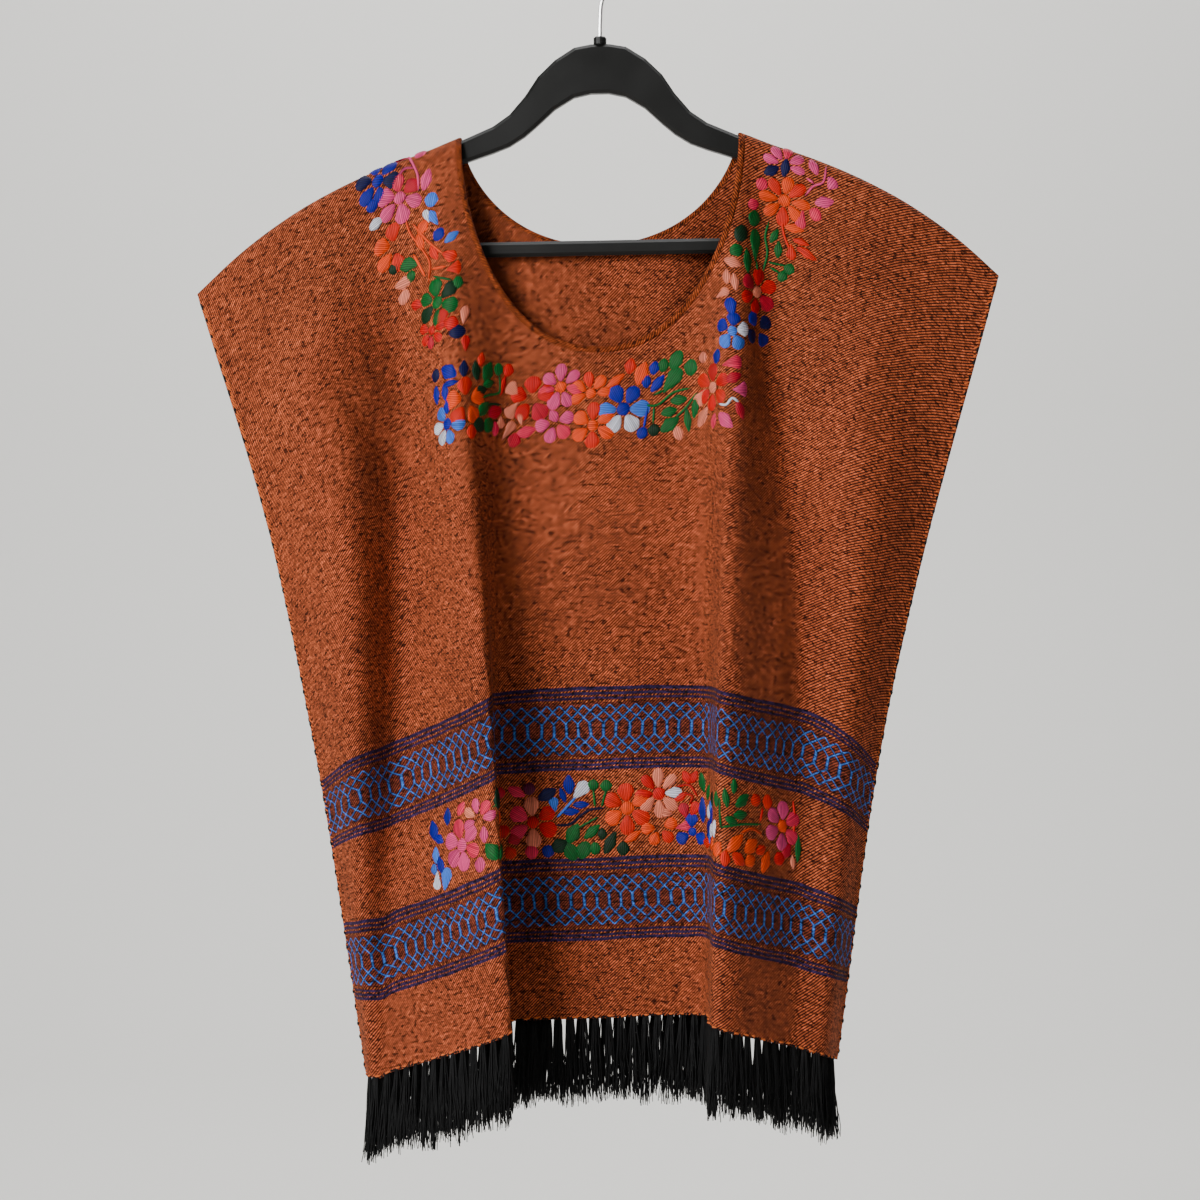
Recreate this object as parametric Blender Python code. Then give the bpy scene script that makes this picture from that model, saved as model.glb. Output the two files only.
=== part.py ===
"""A hand-woven blouse with a fringed hem, hanging on a plain hanger with a trouser bar.

Metres, +Z up, with the front towards -Y and the wearer's left at +X. The origin is the point
on the rail that the hook hangs on. Tables are in millimetres, as a pattern cutter writes them.
"""

import math
import random
from collections import namedtuple

import bmesh
import bpy
import numpy as np

MM = 0.001

# The cloth
WALL = 2.0
SEAM_GAP = 0.3
ARMHOLE_PART = 0.31
ARMHOLE_SPREAD = 9.0
SHOULDER_ROUND = 9.0

# The hanger leans a little, so the wearer's right shoulder hangs lower
LEAN = 0.0185
HANGER_HALF_DEPTH = 6.0
HANGER_BEVEL = 2.5
CLOTH_TO_HANGER = 1.3

# The neck
NECK_HALF_WIDTH = 107.0
NECK_TOP = -160.0
FRONT_NECK_DROP = 165.0
FRONT_NECK_FULLNESS = 1.9
BACK_NECK_DROP = 84.0
BACK_NECK_FULLNESS = 1.6
NECK_ROUNDNESS = 2.2
ROLL_WIDTH = 5.0
ROLL_DEPTH = 3.4
ROLL_SINK = 0.3
ROLL_SIDES = 6
CUT_STEPS = 44
ROLL_STEPS = 40

# The fringe
LOCK_PITCH = 9.6
LOCK_ROOT = 4.4
LOCK_BELLY = 6.4
LOCK_TIP = 2.8
LOCK_DEPTH = 2.6
LOCK_LENGTH = 65.0
LOCK_SHORTEST = -5.0
LOCK_LONGEST = 4.0
LOCK_SWAY = 1.4
LOCK_STRAY = 0.9
EDGE_FLARE = 7.0
FLARED_PART = 0.05
STRIP_END = 1.0
STRIP_HEIGHT = 3.0
STRIP_HALF_DEPTH = 1.1
STRIP_GAP = 0.6

# Heights down the cloth, as parts of the way from shoulder to hem
LEVELS = (0.0, 0.25, 0.55, 1.0)

# Drop of the shoulder line below the rail, by distance out from the centre
SHOULDER_LINE = (
    (0, 148),
    (60, 151),
    (107, 160),
    (131, 169.5),
    (168, 183),
    (201, 197.5),
    (240, 219),
    (282, 250),
    (310, 276),
)

# A row for each edge, ridge and hollow of the cloth. The columns are its place across and its
# distance out from the hanger's plane, each at shoulder, chest, waist and hem, and its hem height.
Fold = namedtuple("Fold", "name across out hem")
FRONT_FOLDS = (
    Fold("right side edge", (-312, -265, -225, -181), (0, 0, 0, 0), -889),
    Fold("outer ridge", (-232, -220, -205, -179), (9, 33, 32, 14), -888),
    Fold("outer hollow", (-174, -157, -156, -170), (9.8, 10, 12, 26), -884),
    Fold("right fold's ridge", (-120, -111, -89, -67), (9.8, 42, 71, 92), -844),
    Fold("hollow behind the fold", (-77, -69, -76, -84), (9.8, 14, 18, 19), -846),
    Fold("middle", (0, 0, 2, 4), (9.8, 12.5, 13, 13), -843),
    Fold("hollow before the left fold", (69, 71, 77, 77), (9.8, 14.5, 18, 19), -840),
    Fold("left fold's ridge", (108, 102, 95, 86), (9.8, 40, 66, 88), -841),
    Fold("left hollow", (124, 128, 149, 144), (9.8, 11, 20, 44), -861),
    Fold("left outer ridge", (216, 209, 193, 170), (9, 31, 32, 34), -869),
    Fold("left side edge", (309, 267, 224, 184), (0, 0, 0, 0), -877),
)
BACK_FOLDS = (
    Fold("right side edge", (-312, -265, -225, -181), (0, 0, 0, 0), -889),
    Fold("right outer ridge", (-232, -218, -196, -152), (9, 36, 52, 62), -884),
    Fold("right outer hollow", (-190, -170, -146, -116), (9.8, 12, 16, 24), -872),
    Fold("right ridge", (-140, -126, -98, -66), (9.8, 40, 68, 86), -858),
    Fold("right hollow", (-85, -70, -50, -34), (9.8, 13, 14, 18), -846),
    Fold("middle", (-15, 0, 12, 14), (9.8, 12, 12, 13), -842),
    Fold("left hollow", (60, 58, 60, 58), (9.8, 12, 14, 18), -845),
    Fold("left ridge", (118, 104, 98, 86), (9.8, 38, 62, 80), -852),
    Fold("left outer hollow", (165, 150, 142, 122), (9.8, 13, 18, 28), -862),
    Fold("left outer ridge", (228, 214, 196, 156), (9, 34, 48, 58), -870),
    Fold("left side edge", (309, 267, 224, 184), (0, 0, 0, 0), -877),
)

# Half of the hanger's outline: distance out, drop of its top edge and of its lower edge
HANGER_ARM = (
    (7, 90.7, 128.6),
    (20, 93.0, 131.5),
    (35, 102.5, 140.5),
    (48, 115.0, 152.5),
    (58, 130.0, 161.0),
    (70, 144.0, 168.5),
    (83, 153.0, 173.5),
)
ARM_END = 220.0
LUG_INNER = 182.0
LUG_OUTER = 200.0
LUG_BOTTOM = 256.0
LUG_TOP = 214.0
BAR_HEIGHT = 11.6
BAR_DEPTH = 7.0
BAR_DROP = 248.0

COLLAR_RADIUS = 5.0
COLLAR_TOP = -84.5
COLLAR_BOTTOM = -90.4
WIRE_RADIUS = 1.5
HOOK_RADIUS = 20.0
HOOK_STEM = ((0.2, -72), (1.5, -57), (8, -43))
HOOK_BEND = (-35, 205)

FOLD_STEPS = 4
ROUND_DROPS = (0.0, 1.0, 3.5, 9.0)
ROUND_PART = 0.02
BODY_ROWS = 17


def clear_scene():
    for old in list(bpy.data.objects):
        bpy.data.objects.remove(old, do_unlink=True)


def finish(name, colour, roughness, metallic=0.0):
    """A plain surface of one colour."""
    material = bpy.data.materials.new(name)
    material.use_nodes = True
    shader = material.node_tree.nodes["Principled BSDF"]
    shader.inputs["Base Color"].default_value = (*colour, 1.0)
    shader.inputs["Roughness"].default_value = roughness
    shader.inputs["Metallic"].default_value = metallic
    return material


def solid(name, points, faces, material):
    """A closed body from points in millimetres, with its faces turned outwards."""
    mesh = bpy.data.meshes.new(name)
    mesh.from_pydata([tuple(np.asarray(p) * MM) for p in points], [], faces)
    shaped = bmesh.new()
    shaped.from_mesh(mesh)
    bmesh.ops.recalc_face_normals(shaped, faces=shaped.faces)
    shaped.to_mesh(mesh)
    shaped.free()
    mesh.materials.append(material)
    body = bpy.data.objects.new(name, mesh)
    bpy.context.scene.collection.objects.link(body)
    return body


def tube_faces(rings, sides):
    """Faces of a closed tube through rings of points."""
    faces = [list(range(sides)), list(range((rings - 1) * sides, rings * sides))]
    for ring in range(rings - 1):
        for k in range(sides):
            a = ring * sides + k
            b = ring * sides + (k + 1) % sides
            faces.append([a, b, b + sides, a + sides])
    return faces


def curve_through(stations, values, at):
    """Values on a smooth curve through one row of values at each station."""
    stations = np.asarray(stations, float)
    values = np.asarray(values, float)
    at = np.asarray(at, float)
    step = np.diff(stations)
    slope = np.diff(values, axis=0) / step[:, None]
    before = step[:-1, None]
    after = step[1:, None]
    inner = (slope[:-1] * after + slope[1:] * before) / (before + after)
    tangent = np.vstack([slope[:1], inner, slope[-1:]])
    span = np.clip(np.searchsorted(stations, at, side="right") - 1, 0, len(step) - 1)
    width = step[span][:, None]
    t = ((at - stations[span]) / step[span])[:, None]
    start = (2 * t**3 - 3 * t**2 + 1) * values[span] + (t**3 - 2 * t**2 + t) * width * tangent[span]
    end = (3 * t**2 - 2 * t**3) * values[span + 1] + (t**3 - t**2) * width * tangent[span + 1]
    return start + end


def shoulder_height(across):
    """Height of the shoulder line over the hanger, at a distance across."""
    table = np.array(SHOULDER_LINE, float)
    out = np.concatenate([-table[:0:-1, 0], table[:, 0]])
    drop = np.concatenate([table[:0:-1, 1], table[:, 1]])
    across = np.asarray(across, float)
    return LEAN * across - curve_through(out, drop[:, None], across.ravel())[:, 0].reshape(across.shape)


def side_edge_out(down):
    """The side edges meet along the seam and part along the armhole."""
    if down >= ARMHOLE_PART:
        return SEAM_GAP / 2
    return SEAM_GAP / 2 + ARMHOLE_SPREAD * math.sin(math.pi * down / ARMHOLE_PART) ** 0.8


def cloth_row(folds, down, places):
    """Plan of the cloth at one height: where it lies across and how far out, at fold numbers."""
    across = curve_through(LEVELS, [[fold.across[i] for fold in folds] for i in range(4)], [down])[0]
    out = curve_through(LEVELS, [[fold.out[i] for fold in folds] for i in range(4)], [down])[0]
    out[0] = out[-1] = side_edge_out(down)
    plan = np.column_stack([across, out])
    spacing = np.sqrt(np.linalg.norm(np.diff(plan, axis=0), axis=1))
    stations = np.concatenate([[0.0], np.cumsum(spacing)])
    return curve_through(stations, plan, np.interp(places, np.arange(len(folds)), stations))


def cloth_points(folds, side, places, drops_and_parts):
    """Outer points of a panel. A row is a drop below the shoulder line in millimetres, or a part
    of the way to the hem."""
    top_across = cloth_row(folds, 0.0, places)[:, 0]
    top = shoulder_height(top_across)
    hem = curve_through(np.arange(len(folds)), [[fold.hem] for fold in folds], places)[:, 0]
    rows = []
    for drop, part in drops_and_parts:
        down = np.full(len(places), part) if drop is None else drop / (top - hem)
        plan = cloth_row(folds, float(down.mean()), places)
        height = top + down * (hem - top)
        rounding = np.clip((top - height) / SHOULDER_ROUND, 0.0, 1.0)
        out = SEAM_GAP / 2 + (plan[:, 1] - SEAM_GAP / 2) * np.sqrt(1 - (1 - rounding) ** 2)
        rows.append(np.column_stack([plan[:, 0], side * out, height]))
    return np.array(rows)


def outward(points, side):
    """Unit normals of a panel's outer points, away from the hollow."""
    along = np.gradient(points, axis=1)
    down = np.gradient(points, axis=0)
    normal = side * np.cross(along, down)
    return normal / np.linalg.norm(normal, axis=2, keepdims=True)


def fold_places(folds):
    """Fold numbers of a panel's columns of points."""
    return np.linspace(0, len(folds) - 1, (len(folds) - 1) * FOLD_STEPS + 1)


def panel_rows():
    """The rounding over the hanger takes close rows, and the rest is even down to the hem."""
    parts = np.linspace(ROUND_PART, 1.0, BODY_ROWS + 1)
    return [(drop, None) for drop in ROUND_DROPS] + [(None, part) for part in parts[1:]]


def wall_points(folds, side):
    """Outer and inner points of a panel's wall."""
    outer = cloth_points(folds, side, fold_places(folds), panel_rows())
    normal = outward(outer, side)
    inner = outer - WALL * normal
    inner[0] = outer[0] - (0, 0, WALL)
    inner[-1, :, 2] = outer[-1, :, 2]
    for column, inward in ((0, 1), (-1, -1)):
        reach = WALL / np.maximum(np.abs(normal[:, column, 0]), 0.5)
        inner[:, column, 0] = outer[:, column, 0] + inward * reach
        inner[:, column, 1] = outer[:, column, 1]
        inner[:, column, 2] = outer[:, column, 2]
        inner[0, column, 2] -= WALL
    inner[:, :, 1] = side * np.maximum(side * inner[:, :, 1], SEAM_GAP / 2)
    return outer, inner


def wall_faces(rows, columns):
    """Faces of a closed wall between an outer and an inner sheet of points."""
    sheet = rows * columns

    def at(row, column, inner):
        return row * columns + column + inner * sheet

    faces = []
    for row in range(rows - 1):
        for column in range(columns - 1):
            for inner in (0, 1):
                corners = [
                    at(row, column, inner),
                    at(row, column + 1, inner),
                    at(row + 1, column + 1, inner),
                    at(row + 1, column, inner),
                ]
                faces.append(corners[::-1] if inner else corners)
    for column in range(columns - 1):
        for row in (0, rows - 1):
            faces.append(
                [at(row, column, 0), at(row, column, 1), at(row, column + 1, 1), at(row, column + 1, 0)]
            )
    for row in range(rows - 1):
        for column in (0, columns - 1):
            faces.append(
                [at(row, column, 0), at(row + 1, column, 0), at(row + 1, column, 1), at(row, column, 1)]
            )
    return faces


def neckline(drop, fullness, grow, steps):
    """The neck's outline from corner to corner, grown outwards by a width: across and height."""
    points = []
    for step in range(steps + 1):
        angle = math.pi * (step / steps - 0.5)
        across = math.sin(angle)
        bend = 1 - abs(across) ** NECK_ROUNDNESS
        down = max(bend, 0.0) ** (1 / fullness)
        points.append((NECK_HALF_WIDTH * across, NECK_TOP - drop * down))
    points = np.array(points)
    along = np.gradient(points, axis=0)
    away = np.column_stack([along[:, 1], -along[:, 0]])
    away /= np.linalg.norm(away, axis=1, keepdims=True)
    grown = points + grow * away
    grown[:, 1] += LEAN * grown[:, 0]
    return grown


def cut_neck(panel, drop, fullness):
    """Cuts the neck out of a panel, leaving room for the rolled edge."""
    outline = neckline(drop, fullness, ROLL_WIDTH + SEAM_GAP, CUT_STEPS)
    above = NECK_TOP + 60
    outline = np.vstack([(outline[0, 0], above), outline, (outline[-1, 0], above)])
    reach = 120
    points = [(x, y, z) for y in (-reach, reach) for x, z in outline]
    faces = tube_faces(2, len(outline))
    cutter = solid(f"{panel.name}_neck_cutter", points, faces, panel.data.materials[0])
    cutter.hide_render = True
    cutter.display_type = "WIRE"
    cut = panel.modifiers.new("neck", "BOOLEAN")
    cut.operation = "DIFFERENCE"
    cut.object = cutter


def make_panel(name, folds, side, drop, fullness, material):
    outer, inner = wall_points(folds, side)
    rows, columns = outer.shape[:2]
    points = np.vstack([outer.reshape(-1, 3), inner.reshape(-1, 3)])
    panel = solid(name, points, wall_faces(rows, columns), material)
    cut_neck(panel, drop, fullness)
    return panel


def surface_out(folds, across, height):
    """How far out a panel's outer surface lies, at a place across and a height near the neck."""
    places = np.linspace(0, len(folds) - 1, 241)
    tops = shoulder_height(cloth_row(folds, 0.0, places)[:, 0])
    hems = curve_through(np.arange(len(folds)), [[fold.hem] for fold in folds], places)[:, 0]
    down = 0.1
    for _ in range(4):
        row = cloth_row(folds, down, places)
        top, hem, out = (np.interp(across, row[:, 0], values) for values in (tops, hems, row[:, 1]))
        down = float(np.clip((top - height) / (top - hem), 0, 1))
    rounding = np.clip((top - height) / SHOULDER_ROUND, 0, 1)
    return SEAM_GAP / 2 + (out - SEAM_GAP / 2) * math.sqrt(1 - (1 - rounding) ** 2)


def surface_normal(folds, side, across, height):
    step = 0.4
    ahead = [surface_out(folds, across + dx, height + dz) for dx, dz in ((step, 0), (0, step))]
    behind = [surface_out(folds, across - dx, height - dz) for dx, dz in ((step, 0), (0, step))]
    slope = (np.array(ahead) - behind) / (2 * step)
    normal = np.array((-slope[0], side, -slope[1]))
    return normal / np.linalg.norm(normal)


def roll_path(folds, side, drop, fullness):
    """The roll's middle line and the way out of the cloth, over the shoulder at both ends."""
    outline = neckline(drop, fullness, ROLL_WIDTH / 2, ROLL_STEPS)[1:-1]
    corner = NECK_HALF_WIDTH + ROLL_WIDTH / 2
    ends = [
        [(end, float(shoulder_height(end)) - fall) for fall in ROUND_DROPS]
        for end in (-corner, corner)
    ]
    outline = np.vstack([ends[0], outline, ends[1][::-1]])
    centre = [(x, side * surface_out(folds, x, z), z) for x, z in outline]
    normal = np.array([surface_normal(folds, side, x, z) for x, z in outline])
    normal[[0, -1]] = (0, 0, 1)
    return np.array(centre) - ROLL_SINK * normal, normal


def make_roll(name, folds, side, drop, fullness, material):
    """The neck's rolled edge: an oval roll along the cut, from shoulder to shoulder."""
    centre, normal = roll_path(folds, side, drop, fullness)
    along = np.gradient(centre, axis=0)
    along[[0, -1]] = (0, 1, 0), (0, -1, 0)
    across = np.cross(along, normal)
    across /= np.linalg.norm(across, axis=1, keepdims=True)
    points = []
    for c, a, n in zip(centre, across, normal):
        for k in range(ROLL_SIDES):
            turn = 2 * math.pi * (k + 0.5) / ROLL_SIDES
            points.append(c + a * ROLL_WIDTH / 2 * math.cos(turn) + n * ROLL_DEPTH / 2 * math.sin(turn))
    return solid(name, points, tube_faces(len(centre), ROLL_SIDES), material)


def hem_line(folds, side):
    """The hem's middle line with its distance along the cloth, and the way out from the wall."""
    places = fold_places(folds)
    outer = cloth_points(folds, side, places, [(None, 0.985), (None, 1.0)])
    line = outer[1]
    normal = outward(outer, side)[1]
    normal[:, 2] = 0
    normal /= np.linalg.norm(normal, axis=1, keepdims=True)
    line = line - normal * WALL / 2
    line[:, 1] = side * np.maximum(side * line[:, 1], SEAM_GAP / 2 + WALL / 2)
    length = np.linalg.norm(np.diff(line[:, :2], axis=0), axis=1)
    return np.concatenate([[0.0], np.cumsum(length)]), line, normal


def make_fringe(name, folds, side, seed, material):
    """Locks of yarn whose roots are fused into a narrow strip just under the hem."""
    chance = random.Random(seed)
    along, line, normal = hem_line(folds, side)
    count = int((along[-1] - LOCK_PITCH) // LOCK_PITCH)
    first = (along[-1] - (count - 1) * LOCK_PITCH) / 2
    stations = [STRIP_END]
    for lock in range(count):
        middle = first + lock * LOCK_PITCH
        stations += [middle - LOCK_ROOT / 2, middle + LOCK_ROOT / 2]
    stations.append(along[-1] - STRIP_END)
    centre = np.column_stack([np.interp(stations, along, line[:, i]) for i in range(3)])
    away = np.column_stack([np.interp(stations, along, normal[:, i]) for i in range(3)])
    away /= np.linalg.norm(away, axis=1, keepdims=True)
    points = []
    for c, n in zip(centre, away):
        for out, height in ((1, 0), (-1, 0), (-1, -1), (1, -1)):
            x, y, _ = c + n * out * STRIP_HALF_DEPTH
            points.append((x, y, c[2] - STRIP_GAP + height * STRIP_HEIGHT))
    faces = [[0, 1, 2, 3], [4 * (len(stations) - 1) + k for k in (3, 2, 1, 0)]]
    for i in range(len(stations) - 1):
        a, b = 4 * i, 4 * i + 4
        faces += [[a, a + 1, b + 1, b], [a + 1, a + 2, b + 2, b + 1], [a + 3, a, b, b + 3]]
        if i % 2 == 0:
            faces.append([a + 2, a + 3, b + 3, b + 2])
    for lock in range(count):
        left = 4 * (2 * lock + 1)
        root = [left + 3, left + 7, left + 6, left + 2]
        corner = [np.array(points[i]) for i in root]
        middle = sum(corner) / 4
        tangent = corner[1] - corner[0]
        tangent /= np.linalg.norm(tangent)
        out = np.array((-tangent[1], tangent[0], 0.0))
        if out @ away[2 * lock + 1] < 0:
            out = -out
        place = (lock + 0.5) / count
        flare = max(0.0, 1 - (1 - place) / FLARED_PART) - max(0.0, 1 - place / FLARED_PART)
        sway = LOCK_SWAY * math.sin(lock * 0.55 + seed) + chance.uniform(-LOCK_STRAY, LOCK_STRAY)
        length = LOCK_LENGTH + chance.uniform(LOCK_SHORTEST, LOCK_LONGEST)
        rings = (
            (0.38, LOCK_BELLY, LOCK_DEPTH, 0.25),
            (1.0, LOCK_TIP, LOCK_DEPTH * 0.5, 1.0),
        )
        ring = root
        for part, width, depth, moved in rings:
            shift = tangent * moved * (sway + EDGE_FLARE * flare) - (0, 0, part * length)
            new = []
            for u, w in ((-1, 1), (1, 1), (1, -1), (-1, -1)):
                new.append(len(points))
                points.append(middle + shift + tangent * u * width / 2 + out * w * depth / 2)
            for k in range(4):
                faces.append([ring[k], ring[(k + 1) % 4], new[(k + 1) % 4], new[k]])
            ring = new
        faces.append(ring)
    return solid(name, points, faces, material)


def hanger_outline():
    """The two arms with their lugs for the bar, once round, across and height."""
    top = [(out, drop) for out, drop, _ in HANGER_ARM]
    for out in (107, 131, 168, 201, ARM_END - 6):
        drop = -float(shoulder_height(out) - LEAN * out) + WALL + CLOTH_TO_HANGER
        top.append((out, drop))
    end = top[-1][1]
    lower = [(out, drop) for out, _, drop in HANGER_ARM]
    lower += [(106, 181), (140, 193), (168, 204), (LUG_INNER - 3, LUG_TOP)]
    lower += [(LUG_INNER, LUG_TOP + 4), (LUG_INNER, LUG_BOTTOM - 2), (LUG_INNER + 2, LUG_BOTTOM)]
    lower += [(LUG_OUTER - 3, LUG_BOTTOM), (LUG_OUTER, LUG_BOTTOM - 3), (LUG_OUTER + 4, 232)]
    lower += [(ARM_END - 3, end + 16), (ARM_END, end + 9), (ARM_END - 2, end + 3)]
    half = top + lower[::-1]
    other = [(-out, drop) for out, drop in half][::-1]
    return np.array([(x, LEAN * x - drop) for x, drop in half + other])


def inset(outline, width):
    """An outline moved inwards by a width at each corner."""
    before = outline - np.roll(outline, 1, axis=0)
    after = np.roll(outline, -1, axis=0) - outline
    normals = []
    for edge in (before, after):
        edge = edge / np.linalg.norm(edge, axis=1, keepdims=True)
        normals.append(np.column_stack([edge[:, 1], -edge[:, 0]]))
    bisector = normals[0] + normals[1]
    bisector /= np.linalg.norm(bisector, axis=1, keepdims=True)
    share = np.maximum((bisector * normals[0]).sum(axis=1, keepdims=True), 0.5)
    following = np.roll(outline, -1, axis=0)
    area = np.sum(outline[:, 0] * following[:, 1] - following[:, 0] * outline[:, 1]) / 2
    return outline - np.sign(area) * bisector / share * width


def make_arms(material):
    outline = hanger_outline()
    narrow = inset(outline, HANGER_BEVEL)
    depth = HANGER_HALF_DEPTH
    layers = (
        (-depth, narrow),
        (-depth + HANGER_BEVEL, outline),
        (depth - HANGER_BEVEL, outline),
        (depth, narrow),
    )
    points = [(x, y, z) for y, ring in layers for x, z in ring]
    return solid("hanger_arms", points, tube_faces(len(layers), len(outline)), material)


def make_bar(material):
    """The trouser bar, between the lugs."""
    corner = 2.5
    height, depth = BAR_HEIGHT / 2, BAR_DEPTH / 2
    section = [
        (sy * (depth - cut_y), sz * (height - cut_z))
        for sy, sz, cut_y, cut_z in (
            (-1, -1, corner, 0),
            (1, -1, corner, 0),
            (1, -1, 0, corner),
            (1, 1, 0, corner),
            (1, 1, corner, 0),
            (-1, 1, corner, 0),
            (-1, 1, 0, corner),
            (-1, -1, 0, corner),
        )
    ]
    reach = LUG_INNER - SEAM_GAP
    points = [(x, y, z - BAR_DROP + LEAN * x) for x in (-reach, reach) for y, z in section]
    return solid("hanger_bar", points, tube_faces(2, len(section)), material)


def make_collar(material):
    """The collar under the hook, turned with a soft top edge."""
    round_edge = 1.0
    profile = (
        (COLLAR_BOTTOM, COLLAR_RADIUS),
        (COLLAR_TOP - round_edge, COLLAR_RADIUS),
        (COLLAR_TOP, COLLAR_RADIUS - round_edge),
    )
    sides = 20
    points = []
    for height, radius in profile:
        for k in range(sides):
            turn = 2 * math.pi * k / sides
            points.append((radius * math.cos(turn), radius * math.sin(turn), height))
    return solid("hanger_collar", points, tube_faces(len(profile), sides), material)


def hook_path():
    """The bent wire, from the collar up and over the rail, across and height."""
    middle = WIRE_RADIUS - HOOK_RADIUS
    bend = [
        (HOOK_RADIUS * math.cos(turn), middle + HOOK_RADIUS * math.sin(turn))
        for turn in np.radians(np.linspace(*HOOK_BEND, 27))
    ]
    stem = [(0, COLLAR_TOP + SEAM_GAP), *HOOK_STEM, bend[0]]
    steps = np.linspace(0, len(stem) - 1, 17)
    return [tuple(point) for point in curve_through(np.arange(len(stem)), stem, steps)] + bend[1:]


def make_hook(material):
    wire = bpy.data.curves.new("hanger_hook", "CURVE")
    wire.dimensions = "3D"
    wire.bevel_depth = WIRE_RADIUS * MM
    wire.bevel_resolution = 2
    wire.use_fill_caps = True
    wire.materials.append(material)
    path = hook_path()
    spline = wire.splines.new("POLY")
    spline.points.add(len(path) - 1)
    for point, (x, z) in zip(spline.points, path):
        point.co = (x * MM, 0, z * MM, 1)
    hook = bpy.data.objects.new("hanger_hook", wire)
    bpy.context.scene.collection.objects.link(hook)
    return hook


clear_scene()
cloth = finish("cloth", (0.19, 0.045, 0.017), 0.85)
edge = finish("rolled_edge", (0.30, 0.085, 0.030), 0.85)
yarn = finish("fringe_yarn", (0.006, 0.006, 0.005), 0.8)
plastic = finish("black_plastic", (0.012, 0.012, 0.012), 0.45)
steel = finish("steel_wire", (0.55, 0.55, 0.55), 0.3, 1.0)

front = ("front", FRONT_FOLDS, -1, FRONT_NECK_DROP, FRONT_NECK_FULLNESS)
back = ("back", BACK_FOLDS, 1, BACK_NECK_DROP, BACK_NECK_FULLNESS)
for name, folds, side, drop, fullness in (front, back):
    make_panel(name, folds, side, drop, fullness, cloth)
    make_roll(f"neck_edge_{name}", folds, side, drop, fullness, edge)
    make_fringe(f"fringe_{name}", folds, side, 2 + side, yarn)
make_arms(plastic)
make_bar(plastic)
make_collar(plastic)
make_hook(steel)
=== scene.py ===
import math
import random
from collections import namedtuple

import bmesh
import bpy
import numpy as np
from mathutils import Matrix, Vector


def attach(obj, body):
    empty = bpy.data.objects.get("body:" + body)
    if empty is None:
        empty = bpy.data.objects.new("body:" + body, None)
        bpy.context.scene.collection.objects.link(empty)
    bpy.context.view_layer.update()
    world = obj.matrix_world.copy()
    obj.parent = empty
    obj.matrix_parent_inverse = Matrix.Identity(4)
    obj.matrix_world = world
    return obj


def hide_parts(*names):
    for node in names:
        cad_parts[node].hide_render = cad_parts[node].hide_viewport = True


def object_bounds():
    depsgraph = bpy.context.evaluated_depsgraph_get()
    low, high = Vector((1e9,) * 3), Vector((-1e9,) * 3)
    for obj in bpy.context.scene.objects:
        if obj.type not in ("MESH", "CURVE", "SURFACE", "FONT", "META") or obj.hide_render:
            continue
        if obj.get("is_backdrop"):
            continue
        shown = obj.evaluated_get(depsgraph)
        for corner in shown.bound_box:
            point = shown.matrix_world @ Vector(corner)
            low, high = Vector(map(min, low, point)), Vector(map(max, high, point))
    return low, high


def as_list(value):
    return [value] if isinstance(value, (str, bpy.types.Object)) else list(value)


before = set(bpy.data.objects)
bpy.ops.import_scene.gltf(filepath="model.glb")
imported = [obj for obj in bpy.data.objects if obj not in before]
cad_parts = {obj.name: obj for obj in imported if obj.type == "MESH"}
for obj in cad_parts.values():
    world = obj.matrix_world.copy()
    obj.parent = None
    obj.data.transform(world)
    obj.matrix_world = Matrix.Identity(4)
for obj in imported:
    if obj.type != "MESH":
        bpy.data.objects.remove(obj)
cad_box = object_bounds()

# The cloth panels
# Two loom-width panels of hand-woven cotton twill, rust-orange weft over a black warp, each with two
# figured bands of blue yarn. They hang over the hanger's arms and fall in soft upright folds.
# All of the cloth is worked out in millimetres, and the meshes are made in metres.
MM = 0.001
SEAM_GAP = 0.3
ARMHOLE_PART = 0.31
ARMHOLE_SPREAD = 9.0
SHOULDER_ROUND = 9.0
LEAN = 0.0185
CLOTH_THICKNESS = 1.7
WOVEN_WIDTH = 620.0
WOVEN_LENGTH = 690.0
COLUMNS = 157
ROUND_DROPS = (0.0, 0.4, 1.0, 2.0, 3.5, 5.0, 7.0, 9.0)
ROUND_PART = 0.02
BODY_ROWS = 150
PLAN_STEPS = 601
EVEN_BELOW = 300.0

NECK_HALF_WIDTH = 107.0
NECK_TOP = -160.0
NECK_ROUNDNESS = 2.2
NECK_STEPS = 96
FRONT_NECK = (165.0, 1.9)
BACK_NECK = (84.0, 1.6)
ROLL_WIDTH = 5.0
ROLL_DEPTH = 3.4
ROLL_SIDES = 10
ROLL_ROUND = 12.0
ROLL_SINK = 0.2
CUTTER_RISE = 60.0
CUTTER_REACH = 150.0

# Heights down the cloth, as parts of the way from shoulder to hem
LEVELS = (0.0, 0.25, 0.55, 1.0)

# Drop of the shoulder line below the rail, by distance out from the centre
SHOULDER_LINE = (
    (0, 148),
    (60, 151),
    (107, 160),
    (131, 169.5),
    (168, 183),
    (201, 197.5),
    (240, 219),
    (282, 250),
    (310, 276),
)

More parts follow.
